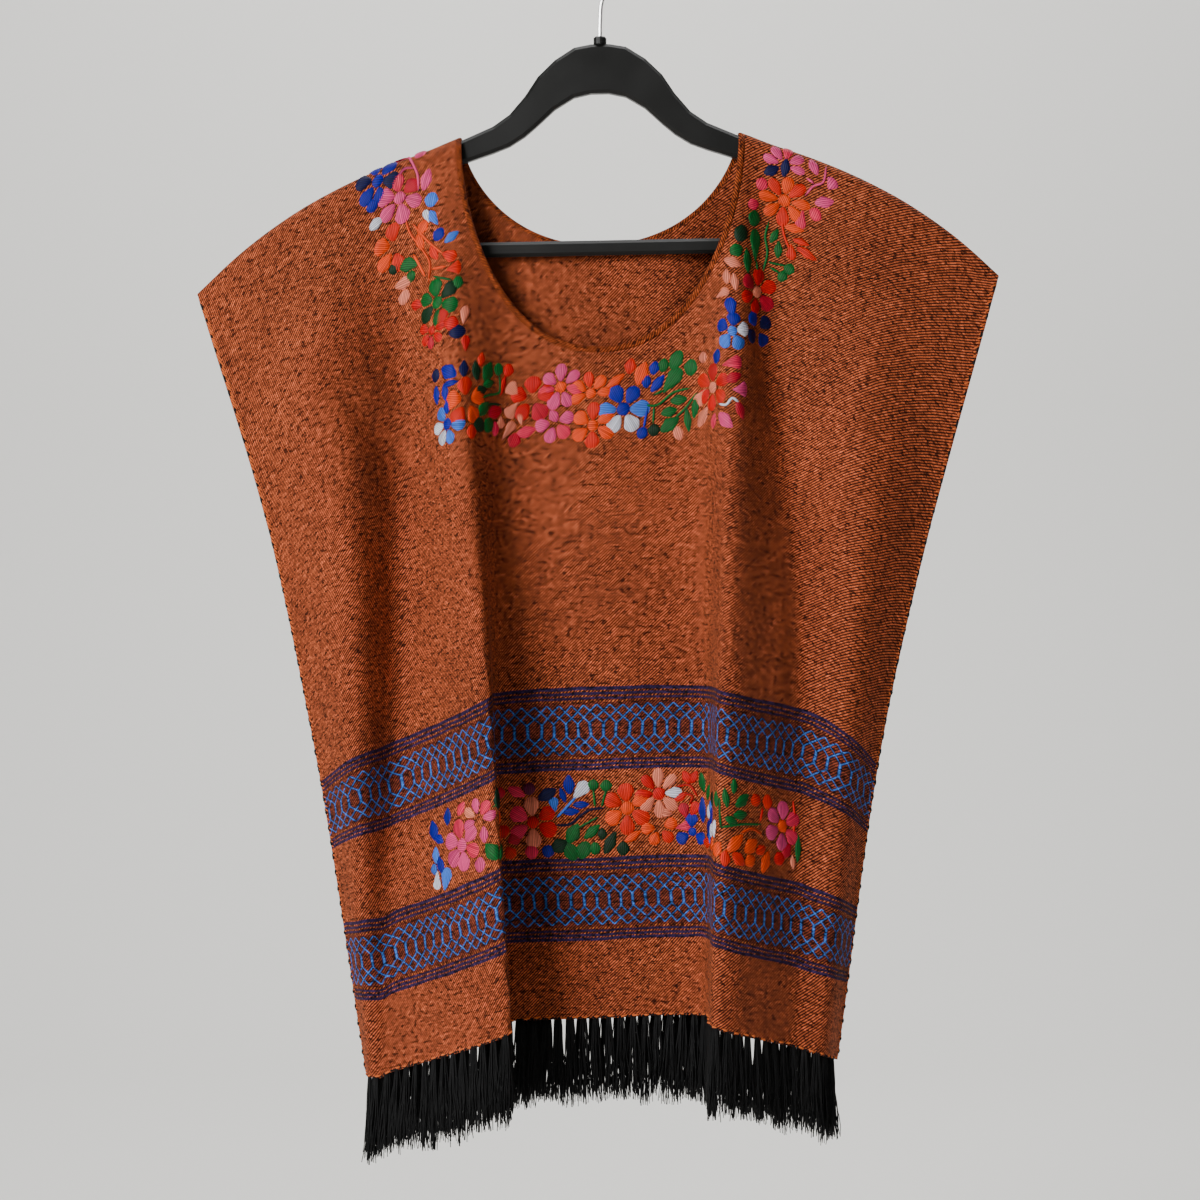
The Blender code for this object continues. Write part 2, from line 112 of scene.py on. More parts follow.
# A row for each edge, ridge and hollow of the cloth. The columns are its place across and its
# distance out from the hanger's plane, each at shoulder, chest, waist and hem, and its hem height.
Fold = namedtuple("Fold", "name across out hem")
FRONT_FOLDS = (
    Fold("right side edge", (-312, -265, -225, -181), (0, 0, 0, 0), -889),
    Fold("outer ridge", (-228, -204, -190, -176), (9, 36, 37, 18), -888),
    Fold("outer hollow", (-168, -152, -151, -164), (9.8, 8, 8, 24), -884),
    Fold("right fold's ridge", (-120, -111, -89, -67), (9.8, 42, 71, 92), -844),
    Fold("hollow behind the fold", (-77, -69, -76, -84), (9.8, 14, 18, 19), -846),
    Fold("middle", (0, 0, 2, 4), (9.8, 12.5, 13, 13), -843),
    Fold("hollow before the left fold", (69, 71, 77, 77), (9.8, 14.5, 18, 19), -840),
    Fold("left fold's ridge", (108, 102, 95, 86), (9.8, 40, 66, 88), -841),
    Fold("left hollow", (124, 136, 156, 149), (9.8, 11, 20, 42), -861),
    Fold("left outer ridge", (216, 209, 193, 170), (9, 31, 32, 34), -869),
    Fold("left side edge", (309, 267, 224, 184), (0, 0, 0, 0), -877),
)
BACK_FOLDS = (
    Fold("right side edge", (-312, -265, -225, -181), (0, 0, 0, 0), -889),
    Fold("right outer ridge", (-232, -218, -196, -152), (9, 36, 52, 62), -884),
    Fold("right outer hollow", (-190, -170, -146, -116), (9.8, 12, 16, 24), -872),
    Fold("right ridge", (-140, -126, -98, -66), (9.8, 40, 68, 86), -858),
    Fold("right hollow", (-85, -70, -50, -34), (9.8, 13, 14, 18), -846),
    Fold("middle", (-15, 0, 12, 14), (9.8, 12, 12, 13), -842),
    Fold("left hollow", (60, 58, 60, 58), (9.8, 12, 14, 18), -845),
    Fold("left ridge", (118, 104, 98, 86), (9.8, 38, 62, 80), -852),
    Fold("left outer hollow", (165, 150, 142, 122), (9.8, 13, 18, 28), -862),
    Fold("left outer ridge", (228, 214, 196, 156), (9, 34, 48, 58), -870),
    Fold("left side edge", (309, 267, 224, 184), (0, 0, 0, 0), -877),
)

# Small creases on top of the folds. The columns are the line as (along, up) points, how far it
# stands out, with hollows below zero, and its half-width.
Crease = namedtuple("Crease", "line rise spread")
FRONT_CREASES = (
    Crease(((60, 560), (100, 500), (150, 455)), -2.6, 13),
    Crease(((34, 500), (75, 430), (112, 385)), -2.0, 11),
    Crease(((86, 610), (62, 540), (52, 450)), 1.8, 12),
    Crease(((196, 545), (205, 480), (214, 400)), -1.6, 9),
    Crease(((285, 395), (318, 372), (352, 392)), 1.6, 12),
    Crease(((268, 330), (272, 230), (270, 130)), 1.2, 12),
    Crease(((355, 340), (350, 250), (352, 150)), 1.2, 13),
    Crease(((455, 560), (480, 490), (512, 440)), -2.4, 12),
    Crease(((560, 590), (540, 500), (545, 420)), 1.6, 13),
    Crease(((500, 400), (515, 300), (520, 180)), 1.8, 12),
    Crease(((70, 330), (84, 220), (80, 120)), -1.4, 12),
    Crease(((160, 120), (150, 60), (156, 12)), 1.6, 11),
    Crease(((121, 480), (110, 395), (95, 300), (82, 215)), -3.4, 10),
    Crease(((88, 520), (78, 440), (66, 340), (56, 230)), 2.4, 14),
)
BACK_CREASES = (
    Crease(((70, 560), (112, 500), (150, 430)), -2.4, 13),
    Crease(((545, 575), (505, 505), (470, 430)), -2.6, 12),
    Crease(((230, 520), (262, 470), (290, 440)), 1.8, 12),
    Crease(((400, 530), (372, 470), (342, 446)), 1.6, 12),
    Crease(((120, 300), (110, 200), (116, 90)), 1.8, 12),
    Crease(((510, 340), (520, 220), (512, 110)), -1.8, 12),
    Crease(((300, 380), (306, 270), (300, 150)), 1.4, 13),
)


def curve_through(stations, values, at):
    """Values on a smooth curve through one row of values at each station."""
    stations = np.asarray(stations, float)
    values = np.asarray(values, float)
    at = np.asarray(at, float)
    step = np.diff(stations)
    slope = np.diff(values, axis=0) / step[:, None]
    before = step[:-1, None]
    after = step[1:, None]
    inner = (slope[:-1] * after + slope[1:] * before) / (before + after)
    tangent = np.vstack([slope[:1], inner, slope[-1:]])
    span = np.clip(np.searchsorted(stations, at, side="right") - 1, 0, len(step) - 1)
    width = step[span][:, None]
    t = ((at - stations[span]) / step[span])[:, None]
    start = (2 * t**3 - 3 * t**2 + 1) * values[span] + (t**3 - 2 * t**2 + t) * width * tangent[span]
    end = (3 * t**2 - 2 * t**3) * values[span + 1] + (t**3 - t**2) * width * tangent[span + 1]
    return start + end


def shoulder_height(across):
    """Height of the shoulder line over the hanger, at a distance across."""
    table = np.array(SHOULDER_LINE, float)
    out = np.concatenate([-table[:0:-1, 0], table[:, 0]])
    drop = np.concatenate([table[:0:-1, 1], table[:, 1]])
    across = np.asarray(across, float)
    return LEAN * across - curve_through(out, drop[:, None], across.ravel())[:, 0].reshape(across.shape)


def side_edge_out(down):
    """The side edges meet along the seam and part along the armhole."""
    if down >= ARMHOLE_PART:
        return SEAM_GAP / 2
    return SEAM_GAP / 2 + ARMHOLE_SPREAD * math.sin(math.pi * down / ARMHOLE_PART) ** 0.8


def cloth_row(folds, down, places):
    """Plan of the cloth at one height: where it lies across and how far out, at fold numbers."""
    across = curve_through(LEVELS, [[fold.across[i] for fold in folds] for i in range(4)], [down])[0]
    out = curve_through(LEVELS, [[fold.out[i] for fold in folds] for i in range(4)], [down])[0]
    out[0] = out[-1] = side_edge_out(down)
    plan = np.column_stack([across, out])
    spacing = np.sqrt(np.linalg.norm(np.diff(plan, axis=0), axis=1))
    stations = np.concatenate([[0.0], np.cumsum(spacing)])
    return curve_through(stations, plan, np.interp(places, np.arange(len(folds)), stations))


def outward(points, side):
    """Unit normals of a grid of points, away from the hollow."""
    normal = side * np.cross(np.gradient(points, axis=1), np.gradient(points, axis=0))
    return normal / np.maximum(np.linalg.norm(normal, axis=2, keepdims=True), 1e-9)


def distance_to_line(along, up, line):
    """Distance of cloth points from a bent line, and how far along the line they are, 0 to 1."""
    line = np.array(line, float)
    lengths = np.linalg.norm(np.diff(line, axis=0), axis=1)
    total = lengths.sum()
    nearest = np.full(along.shape, 1e9)
    share = np.zeros(along.shape)
    walked = 0.0
    for start, end, length in zip(line[:-1], line[1:], lengths):
        way = (end - start) / length
        reach = np.clip((along - start[0]) * way[0] + (up - start[1]) * way[1], 0, length)
        away = np.hypot(along - start[0] - reach * way[0], up - start[1] - reach * way[1])
        closer = away < nearest
        nearest = np.where(closer, away, nearest)
        share = np.where(closer, (walked + reach) / total, share)
        walked += length
    return nearest, share


class Panel:
    """One woven panel: its outer points as rows of columns, and where each lies on the loom."""

    def __init__(self, folds, side, creases):
        self.side = side
        places = np.linspace(0, len(folds) - 1, PLAN_STEPS)
        tops = shoulder_height(cloth_row(folds, 0.0, places)[:, 0])
        hems = curve_through(np.arange(len(folds)), [[fold.hem] for fold in folds], places)[:, 0]
        mean_fall = float((tops - hems).mean())
        downs = [drop / mean_fall for drop in ROUND_DROPS]
        downs += list(np.linspace(ROUND_PART, 1.0, BODY_ROWS + 1)[1:])
        self.downs = np.array(downs)
        rows, falls = [], []
        for number, down in enumerate(downs):
            plan = cloth_row(folds, down, places)
            walked = np.concatenate([[0.0], np.cumsum(np.linalg.norm(np.diff(plan, axis=0), axis=1))])
            at = np.linspace(0, walked[-1], COLUMNS)
            place = np.interp(at, walked, places)
            across = np.interp(place, places, plan[:, 0])
            out = np.interp(place, places, plan[:, 1])
            top = np.interp(place, places, tops)
            fall = top - np.interp(place, places, hems)
            share = ROUND_DROPS[number] / fall if number < len(ROUND_DROPS) else down
            height = top - share * fall
            rounding = np.clip((top - height) / SHOULDER_ROUND, 0.0, 1.0)
            out = SEAM_GAP / 2 + (out - SEAM_GAP / 2) * np.sqrt(1 - (1 - rounding) ** 2)
            rows.append(np.column_stack([across, side * out, height]))
            falls.append(fall)
        self.points = np.array(rows)
        self.falls = np.array(falls)
        self.along = np.broadcast_to(np.linspace(0, WOVEN_WIDTH, COLUMNS), self.falls.shape)
        self.up = self.falls * (1 - self.downs[:, None])
        normal = outward(self.points, side)
        for crease in creases:
            away, share = distance_to_line(self.along, self.up, crease.line)
            rise = crease.rise * np.exp(-((away / crease.spread) ** 2)) * np.sin(np.pi * share) ** 0.7
            self.points = self.points + normal * rise[:, :, None]
        self.points[:, :, 1] = side * np.maximum(side * self.points[:, :, 1], SEAM_GAP / 2)
        self.normals = outward(self.points, side)

    def at(self, along, up, lift=0.0):
        """Points of the outer surface, raised by a lift, and the way out of it there."""
        along = np.asarray(along, float)
        up = np.asarray(up, float)
        column = np.clip(along / WOVEN_WIDTH * (COLUMNS - 1), 0, COLUMNS - 1.001)
        fall = np.interp(column, np.arange(COLUMNS), self.falls[-1])
        row = np.interp(1 - up / fall, self.downs, np.arange(len(self.downs)))
        row = np.clip(row, 0, len(self.downs) - 1.001)
        c, r = column.astype(int), row.astype(int)
        s, t = (column - c)[..., None], (row - r)[..., None]
        found = []
        for grid in (self.points, self.normals):
            upper = grid[r, c] * (1 - s) + grid[r, c + 1] * s
            lower = grid[r + 1, c] * (1 - s) + grid[r + 1, c + 1] * s
            found.append(upper * (1 - t) + lower * t)
        normal = found[1] / np.linalg.norm(found[1], axis=-1, keepdims=True)
        return found[0] + normal * np.asarray(lift, float)[..., None], normal


def add_mesh(name, points, faces, smooth=True):
    """An object from points in millimetres."""
    mesh = bpy.data.meshes.new(name)
    mesh.from_pydata((np.asarray(points, float) * MM).tolist(), [], faces)
    if smooth:
        mesh.shade_smooth()
    piece = bpy.data.objects.new(name, mesh)
    bpy.context.scene.collection.objects.link(piece)
    return piece


def lay_out(mesh, places):
    """Writes where each point lies on the loom, in metres, as the mesh's UV map."""
    layer = mesh.uv_layers.new(name="loom")
    corners = np.empty(len(mesh.loops), np.int32)
    mesh.loops.foreach_get("vertex_index", corners)
    layer.uv.foreach_set("vector", (np.asarray(places, float) * MM)[corners].astype(np.float32).ravel())


def neckline(drop, fullness, grow, steps):
    """The neck's outline from corner to corner, grown outwards by a width: across and height."""
    points = []
    for step in range(steps + 1):
        across = math.sin(math.pi * (step / steps - 0.5))
        bend = 1 - abs(across) ** NECK_ROUNDNESS
        points.append((NECK_HALF_WIDTH * across, NECK_TOP - drop * max(bend, 0.0) ** (1 / fullness)))
    points = np.array(points)
    along = np.gradient(points, axis=0)
    away = np.column_stack([along[:, 1], -along[:, 0]])
    away /= np.linalg.norm(away, axis=1, keepdims=True)
    grown = points + grow * away
    grown[:, 1] += LEAN * grown[:, 0]
    return grown


def cut_neck(piece, neck):
    """Cuts the neck's hole out of a panel with a tall prism, and keeps only the result."""
    outline = neckline(*neck, ROLL_WIDTH * 0.6, NECK_STEPS)
    above = NECK_TOP + CUTTER_RISE
    outline = np.vstack([(outline[0, 0], above), outline, (outline[-1, 0], above)])
    count = len(outline)
    points = [(x, y, z) for y in (-CUTTER_REACH, CUTTER_REACH) for x, z in outline]
    faces = [list(range(count)), list(range(count, 2 * count))]
    faces += [[k, (k + 1) % count, (k + 1) % count + count, k + count] for k in range(count)]
    cutter = add_mesh("neck_cutter", points, faces, smooth=False)
    shaped = bmesh.new()
    shaped.from_mesh(cutter.data)
    bmesh.ops.recalc_face_normals(shaped, faces=shaped.faces)
    shaped.to_mesh(cutter.data)
    shaped.free()
    cut = piece.modifiers.new("neck", "BOOLEAN")
    cut.operation = "DIFFERENCE"
    cut.object = cutter
    graph = bpy.context.evaluated_depsgraph_get()
    result = bpy.data.meshes.new_from_object(piece.evaluated_get(graph))
    piece.modifiers.clear()
    piece.data = result
    bpy.data.objects.remove(cutter, do_unlink=True)


def weave_panel(name, panel, neck):
    """The panel's cloth as a thin closed wall, with its loom coordinates and its neck cut."""
    inner = panel.points - CLOTH_THICKNESS * panel.normals
    inner[0] = panel.points[0] - (0, 0, CLOTH_THICKNESS)
    inner[:, :, 1] = panel.side * np.maximum(panel.side * inner[:, :, 1], SEAM_GAP / 2)
    rows, columns = panel.points.shape[:2]
    sheet = rows * columns
    number = np.arange(sheet).reshape(rows, columns)
    quads = np.stack([number[:-1, :-1], number[:-1, 1:], number[1:, 1:], number[1:, :-1]], -1).reshape(-1, 4)
    faces = quads.tolist() + (quads[:, ::-1] + sheet).tolist()
    for line in (number[0], number[-1, ::-1], number[::-1, 0], number[:, -1]):
        faces += np.column_stack([line[1:], line[:-1], line[:-1] + sheet, line[1:] + sheet]).tolist()
    if panel.side > 0:
        faces = [face[::-1] for face in faces]
    scale = WOVEN_LENGTH / panel.falls
    lower_part = np.clip(panel.up / EVEN_BELOW, 0, 1)
    up = panel.up * (1 + (scale - 1) * lower_part * lower_part * (3 - 2 * lower_part))
    places = np.stack([panel.along, up], -1).reshape(-1, 2)
    piece = add_mesh(name, np.vstack([panel.points.reshape(-1, 3), inner.reshape(-1, 3)]), faces)
    lay_out(piece.data, np.vstack([places, places]))
    cut_neck(piece, neck)
    piece.data.shade_smooth()
    piece.data.set_sharp_from_angle(angle=math.radians(50))
    return piece


def feed(tree, socket, value):
    """Links a socket to a value's socket, or sets it to a number or colour."""
    if isinstance(value, bpy.types.NodeSocket):
        tree.links.new(value, socket)
    else:
        socket.default_value = value


def calc(tree, operation, *values):
    """A sum on sockets or numbers."""
    node = tree.nodes.new("ShaderNodeMath")
    node.operation = operation
    for socket, value in zip(node.inputs, values):
        feed(tree, socket, value)
    return node.outputs[0]


def ramp(tree, value, low, high):
    """0 below low and 1 above high, smoothly. High may be the lesser, which turns it round."""
    node = tree.nodes.new("ShaderNodeMapRange")
    node.interpolation_type = "SMOOTHSTEP"
    for socket, given in zip(node.inputs, (value, low, high, 0.0, 1.0)):
        feed(tree, socket, given)
    return node.outputs[0]


def point(tree, x, y, z=0.0):
    node = tree.nodes.new("ShaderNodeCombineXYZ")
    for socket, value in zip(node.inputs, (x, y, z)):
        feed(tree, socket, value)
    return node.outputs[0]


def noise(tree, place, scale, detail=2.0):
    node = tree.nodes.new("ShaderNodeTexNoise")
    node.inputs["Scale"].default_value = scale
    node.inputs["Detail"].default_value = detail
    tree.links.new(place, node.inputs["Vector"])
    return node.outputs["Fac"]


def toss(tree, place):
    """A chance value from 0 to 1 for each whole place."""
    node = tree.nodes.new("ShaderNodeTexWhiteNoise")
    tree.links.new(place, node.inputs["Vector"])
    return node.outputs["Value"]


def blend(tree, share, first, second):
    """Two colours mixed by a share."""
    node = tree.nodes.new("ShaderNodeMix")
    node.data_type = "RGBA"
    for number, value in ((0, share), (6, first), (7, second)):
        feed(tree, node.inputs[number], value)
    return node.outputs[2]


def tint(tree, colour, amount):
    """A colour made lighter or darker by an amount."""
    node = tree.nodes.new("ShaderNodeVectorMath")
    node.operation = "SCALE"
    feed(tree, node.inputs[0], colour)
    feed(tree, node.inputs["Scale"], amount)
    return node.outputs[0]


def group(name, inputs, outputs):
    """A node group with its named sockets."""
    tree = bpy.data.node_groups.new(name, "ShaderNodeTree")
    for label, kind, value in inputs:
        socket = tree.interface.new_socket(label, in_out="INPUT", socket_type=kind)
        socket.default_value = value
    for label, kind in outputs:
        tree.interface.new_socket(label, in_out="OUTPUT", socket_type=kind)
    return tree, tree.nodes.new("NodeGroupInput").outputs, tree.nodes.new("NodeGroupOutput").inputs


def place_group(tree, used, **values):
    node = tree.nodes.new("ShaderNodeGroup")
    node.node_tree = used
    for label, value in values.items():
        feed(tree, node.inputs[label], value)
    return node.outputs


def loom_place(tree):
    """Where the surface lies on the loom, in metres: along and up."""
    node = tree.nodes.new("ShaderNodeUVMap")
    node.uv_map = "loom"
    parts = tree.nodes.new("ShaderNodeSeparateXYZ")
    tree.links.new(node.outputs[0], parts.inputs[0])
    return parts.outputs[0], parts.outputs[1]


def finish(name, roughness, metallic=0.0):
    """A new surface: its node tree and its shader."""
    material = bpy.data.materials.new(name)
    material.use_nodes = True
    shader = material.node_tree.nodes["Principled BSDF"]
    shader.inputs["Roughness"].default_value = roughness
    shader.inputs["Metallic"].default_value = metallic
    return material, material.node_tree, shader


def raise_grain(tree, shader, height, distance, strength=1.0):
    bump = tree.nodes.new("ShaderNodeBump")
    bump.inputs["Strength"].default_value = strength
    bump.inputs["Distance"].default_value = distance
    tree.links.new(height, bump.inputs["Height"])
    tree.links.new(bump.outputs[0], shader.inputs["Normal"])


FLOAT = "NodeSocketFloat"

# The twill itself: a 2-over-2 weave whose weft picks vary, with slubs and darker nubs of yarn.
THREAD = 0.00062
twill, given, made = group(
    "cotton_twill",
    (("Along", FLOAT, 0.0), ("Up", FLOAT, 0.0)),
    (("Weft", FLOAT), ("Tone", FLOAT), ("Height", FLOAT)),
)
place = point(twill, given["Along"], given["Up"])
wander = noise(twill, place, 22.0)
x = calc(twill, "MULTIPLY_ADD", wander, 5.0, calc(twill, "DIVIDE", given["Along"], THREAD))
y = calc(twill, "MULTIPLY_ADD", noise(twill, place, 35.0), 4.0, calc(twill, "DIVIDE", given["Up"], THREAD))
end, pick = calc(twill, "FLOOR", x), calc(twill, "FLOOR", y)
step = calc(twill, "FLOORED_MODULO", calc(twill, "SUBTRACT", end, pick), 4.0)
weft_up = calc(twill, "LESS_THAN", step, 1.5)
across_weft = calc(twill, "SINE", calc(twill, "MULTIPLY", calc(twill, "FRACT", y), math.pi))
across_warp = calc(twill, "SINE", calc(twill, "MULTIPLY", calc(twill, "FRACT", x), math.pi))
weft_round = calc(twill, "MULTIPLY", weft_up, across_weft)
warp_round = calc(twill, "MULTIPLY", calc(twill, "SUBTRACT", 1.0, weft_up), across_warp)
fibre = noise(twill, point(twill, calc(twill, "MULTIPLY", x, 0.35), calc(twill, "MULTIPLY", y, 1.3)), 1.0)
pick_tone = noise(twill, point(twill, calc(twill, "MULTIPLY", x, 0.03), pick), 1.0, 1.0)
end_tone = noise(twill, point(twill, end, calc(twill, "MULTIPLY", y, 0.02), 4.0), 1.0, 1.0)
patch = noise(twill, place, 14.0, 3.0)
fleck = noise(twill, place, 300.0, 1.0)
float_tone = toss(twill, point(twill, calc(twill, "FLOOR", calc(twill, "MULTIPLY", x, 0.25)),
                               calc(twill, "FLOOR", calc(twill, "MULTIPLY", y, 0.5))))
nub_along = calc(twill, "MULTIPLY", given["Along"], 220.0)
nub_up = calc(twill, "MULTIPLY", given["Up"], 420.0)
nub_place = point(twill, nub_along, nub_up)
nub = ramp(twill, noise(twill, nub_place, 1.0, 1.0), 0.58, 0.64)
slub = ramp(twill, noise(twill, nub_place, 0.8, 0.0), 0.40, 0.30)
tone = calc(twill, "MULTIPLY_ADD", fibre, 0.7, 0.40)
for source, share in ((pick_tone, 0.7), (end_tone, 0.5), (patch, 0.8), (fleck, 1.2), (float_tone, 0.9)):
    tone = calc(twill, "MULTIPLY", tone, calc(twill, "MULTIPLY_ADD", source, share, 1.0 - share / 2))
tone = calc(twill, "MULTIPLY_ADD", slub, 0.45, tone)
tone = calc(twill, "MULTIPLY", tone, calc(twill, "MULTIPLY_ADD", nub, -0.75, 1.0))
feed(twill, made["Weft"], calc(twill, "MULTIPLY_ADD", weft_round, 0.8, calc(twill, "MULTIPLY", weft_up, 0.2)))
feed(twill, made["Tone"], tone)
feed(twill, made["Height"], calc(twill, "ADD", weft_round, calc(twill, "MULTIPLY", warp_round, 0.7)))

# The figured bands, in millimetres: where each band's top edge lies above the hem, then the
# lines of navy yarn down from it, and the lattice between them.
BAND_TOPS = (123.7, 254.0)
BAND_HEIGHT = 63.5
BAND_LINES = ((1.5, 1.25), (5.3, 1.05), (8.8, 0.85), (56.0, 0.8), (59.2, 1.0), (62.3, 1.15))
DOT_ROWS = (3.4, 7.1, 10.9, 53.9, 57.6, 60.8)
DOT_PITCH = 3.3
FIGURE_PITCH = 9.85
FIGURE_MIDDLE = 32.6
BAR_REACH = 5.0
LATTICE_REACH = 19.0
SLANT_REACH = 0.72
BAR_HALF_WIDTH = 0.95
figure, given, made = group(
    "band_figures",
    (("Along", FLOAT, 0.0), ("Up", FLOAT, 0.0)),
    (("Navy", FLOAT), ("Blue", FLOAT), ("Dots", FLOAT), ("Ground", FLOAT)),
)
place = point(figure, given["Along"], given["Up"])
along = calc(figure, "MULTIPLY", given["Along"], 1000.0)
up = calc(figure, "MULTIPLY", given["Up"], 1000.0)
drift = calc(figure, "SUBTRACT", noise(figure, place, 30.0, 1.0), 0.5)
along = calc(figure, "MULTIPLY_ADD", drift, 5.0, along)
drift = calc(figure, "SUBTRACT", noise(figure, place, 45.0, 1.0), 0.5)
up = calc(figure, "MULTIPLY_ADD", drift, 2.2, up)
low, high = (calc(figure, "SUBTRACT", top, up) for top in BAND_TOPS)
down = calc(figure, "ADD", low, calc(figure, "MULTIPLY", calc(figure, "LESS_THAN", low, 0.0),
            BAND_TOPS[1] - BAND_TOPS[0]))
frayed = calc(figure, "MULTIPLY_ADD", noise(figure, place, 900.0, 1.0), 0.9, -0.45)


def near(tree, value, middle, reach):
    """1 within reach of the middle, and 0 outside, with a frayed edge."""
    away = calc(tree, "ADD", calc(tree, "ABSOLUTE", calc(tree, "SUBTRACT", value, middle)), frayed)
    return ramp(tree, away, reach + 0.25, reach - 0.25)


def most(tree, values):
    total = values[0]
    for value in values[1:]:
        total = calc(tree, "MAXIMUM", total, value)
    return total


lines = most(figure, [near(figure, down, middle, reach) for middle, reach in BAND_LINES])
dots = most(figure, [near(figure, down, middle, 0.7) for middle in DOT_ROWS])
dots = calc(figure, "MULTIPLY", dots, ramp(figure, calc(figure, "SINE", calc(figure, "MULTIPLY", along,
            2 * math.pi / DOT_PITCH)), -0.1, 0.5))
apart = calc(figure, "ABSOLUTE", calc(figure, "SUBTRACT", down, FIGURE_MIDDLE))
slant = calc(figure, "MULTIPLY", calc(figure, "SUBTRACT", LATTICE_REACH, apart), FIGURE_PITCH / 9.5)
in_lattice = calc(figure, "MULTIPLY", calc(figure, "LESS_THAN", apart, LATTICE_REACH),
                  calc(figure, "GREATER_THAN", apart, BAR_REACH - 0.4))


def strokes(shift, reach):
    """Strokes that repeat with the figures' pitch."""
    turn = calc(figure, "PINGPONG", calc(figure, "ADD", along, shift), FIGURE_PITCH / 2)
    return ramp(figure, calc(figure, "ADD", turn, frayed), reach + 0.3, reach - 0.3)


backward = calc(figure, "MULTIPLY", slant, -1.0)
below_top = calc(figure, "GREATER_THAN", down, 0.0)
above_foot = calc(figure, "LESS_THAN", down, BAND_HEIGHT)
in_band = calc(figure, "MULTIPLY", below_top, above_foot)
half_pitch = FIGURE_PITCH / 2
# Navy is drawn wider than the blue, so each blue stroke has a dark rim: partly navy yarn, partly painted
# shade beside the raised blue floats
for label, wide in (("Blue", -0.12), ("Navy", 0.6)):
    both_ways = [strokes(slant, SLANT_REACH + wide), strokes(backward, SLANT_REACH + wide)]
    crossed = calc(figure, "MULTIPLY", in_lattice, most(figure, both_ways))
    upright = strokes(half_pitch, BAR_HALF_WIDTH + wide)
    bars = calc(figure, "MULTIPLY", calc(figure, "LESS_THAN", apart, BAR_REACH), upright)
    drawn = most(figure, [crossed, bars] + ([lines] if label == "Navy" else []))
    feed(figure, made[label], calc(figure, "MULTIPLY", drawn, in_band))
feed(figure, made["Dots"], calc(figure, "MULTIPLY", dots, in_band))
feed(figure, made["Ground"], in_band)

ORANGE = (0.76, 0.160, 0.052, 1.0)
WARP = (0.034, 0.008, 0.006, 1.0)
BAND_ORANGE = (0.30, 0.055, 0.024, 1.0)
NAVY_YARN = (0.013, 0.012, 0.060, 1.0)
BLUE_YARN = (0.045, 0.19, 0.62, 1.0)
DOT_ORANGE = (0.80, 0.20, 0.04, 1.0)
cloth, tree, shader = finish("cotton_cloth", 0.9)
along, up = loom_place(tree)
woven = place_group(tree, twill, Along=along, Up=up)
banded = place_group(tree, figure, Along=along, Up=up)
weft = blend(tree, banded["Ground"], ORANGE, BAND_ORANGE)
weft = blend(tree, banded["Dots"], weft, DOT_ORANGE)
ground = blend(tree, woven["Weft"], WARP, weft)
ground = blend(tree, calc(tree, "MULTIPLY", banded["Navy"], 0.9), ground, NAVY_YARN)
picked = calc(tree, "MULTIPLY", banded["Blue"], calc(tree, "MULTIPLY_ADD", woven["Weft"], 0.35, 0.65))
ground = blend(tree, picked, ground, BLUE_YARN)
feed(tree, shader.inputs["Base Color"], tint(tree, ground, woven["Tone"]))
shader.inputs["Sheen Weight"].default_value = 0.05
shader.inputs["Sheen Roughness"].default_value = 0.5
shader.inputs["Sheen Tint"].default_value = (1.0, 0.45, 0.2, 1.0)
shader.inputs["Specular IOR Level"].default_value = 0.12
raised = calc(tree, "MULTIPLY_ADD", banded["Blue"], 0.8, woven["Height"])
raise_grain(tree, shader, raised, 0.0003, 0.3)

front_panel = Panel(FRONT_FOLDS, -1, FRONT_CREASES)
back_panel = Panel(BACK_FOLDS, 1, BACK_CREASES)
front_cloth = weave_panel("front_cloth", front_panel, FRONT_NECK)
back_cloth = weave_panel("back_cloth", back_panel, BACK_NECK)
for piece, node in ((front_cloth, "front"), (back_cloth, "back")):
    piece.data.materials.clear()
    piece.data.materials.append(cloth)
    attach(piece, "root")
    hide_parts(node)


# The rolled neck edges
# The cut neck is turned over once into a narrow firm roll and overcast with its own yarn. It runs
# along the hole of each panel and ends at the shoulders.
def tube(centre, out, widths, depths, sides):
    """Points and faces of a tube along a line, oval across, with its flat side held to the cloth."""
    centre, out = np.asarray(centre, float), np.asarray(out, float)
    way = np.gradient(centre, axis=0)
    across = np.cross(way, out)
    across /= np.maximum(np.linalg.norm(across, axis=1, keepdims=True), 1e-9)
    turn = 2 * np.pi * (np.arange(sides) + 0.5) / sides
    ring = (
        centre[:, None]
        + across[:, None] * (np.asarray(widths)[:, None, None] / 2 * np.cos(turn)[None, :, None])
        + out[:, None] * (np.asarray(depths)[:, None, None] / 2 * np.sin(turn)[None, :, None])
    )
    number = np.arange(len(centre) * sides).reshape(-1, sides)
    after = np.roll(number, -1, axis=1)
    faces = np.stack([number[:-1], after[:-1], after[1:], number[1:]], -1).reshape(-1, 4).tolist()
    faces += [number[0].tolist()[::-1], number[-1].tolist()]
    return ring.reshape(-1, 3), faces


def merge(parts):
    """One mesh's points and faces from several."""
    points, faces, count = [], [], 0
    for some_points, some_faces in parts:
        points.append(some_points)
        faces += [[i + count for i in face] for face in some_faces]
        count += len(some_points)
    return np.vstack(points), faces


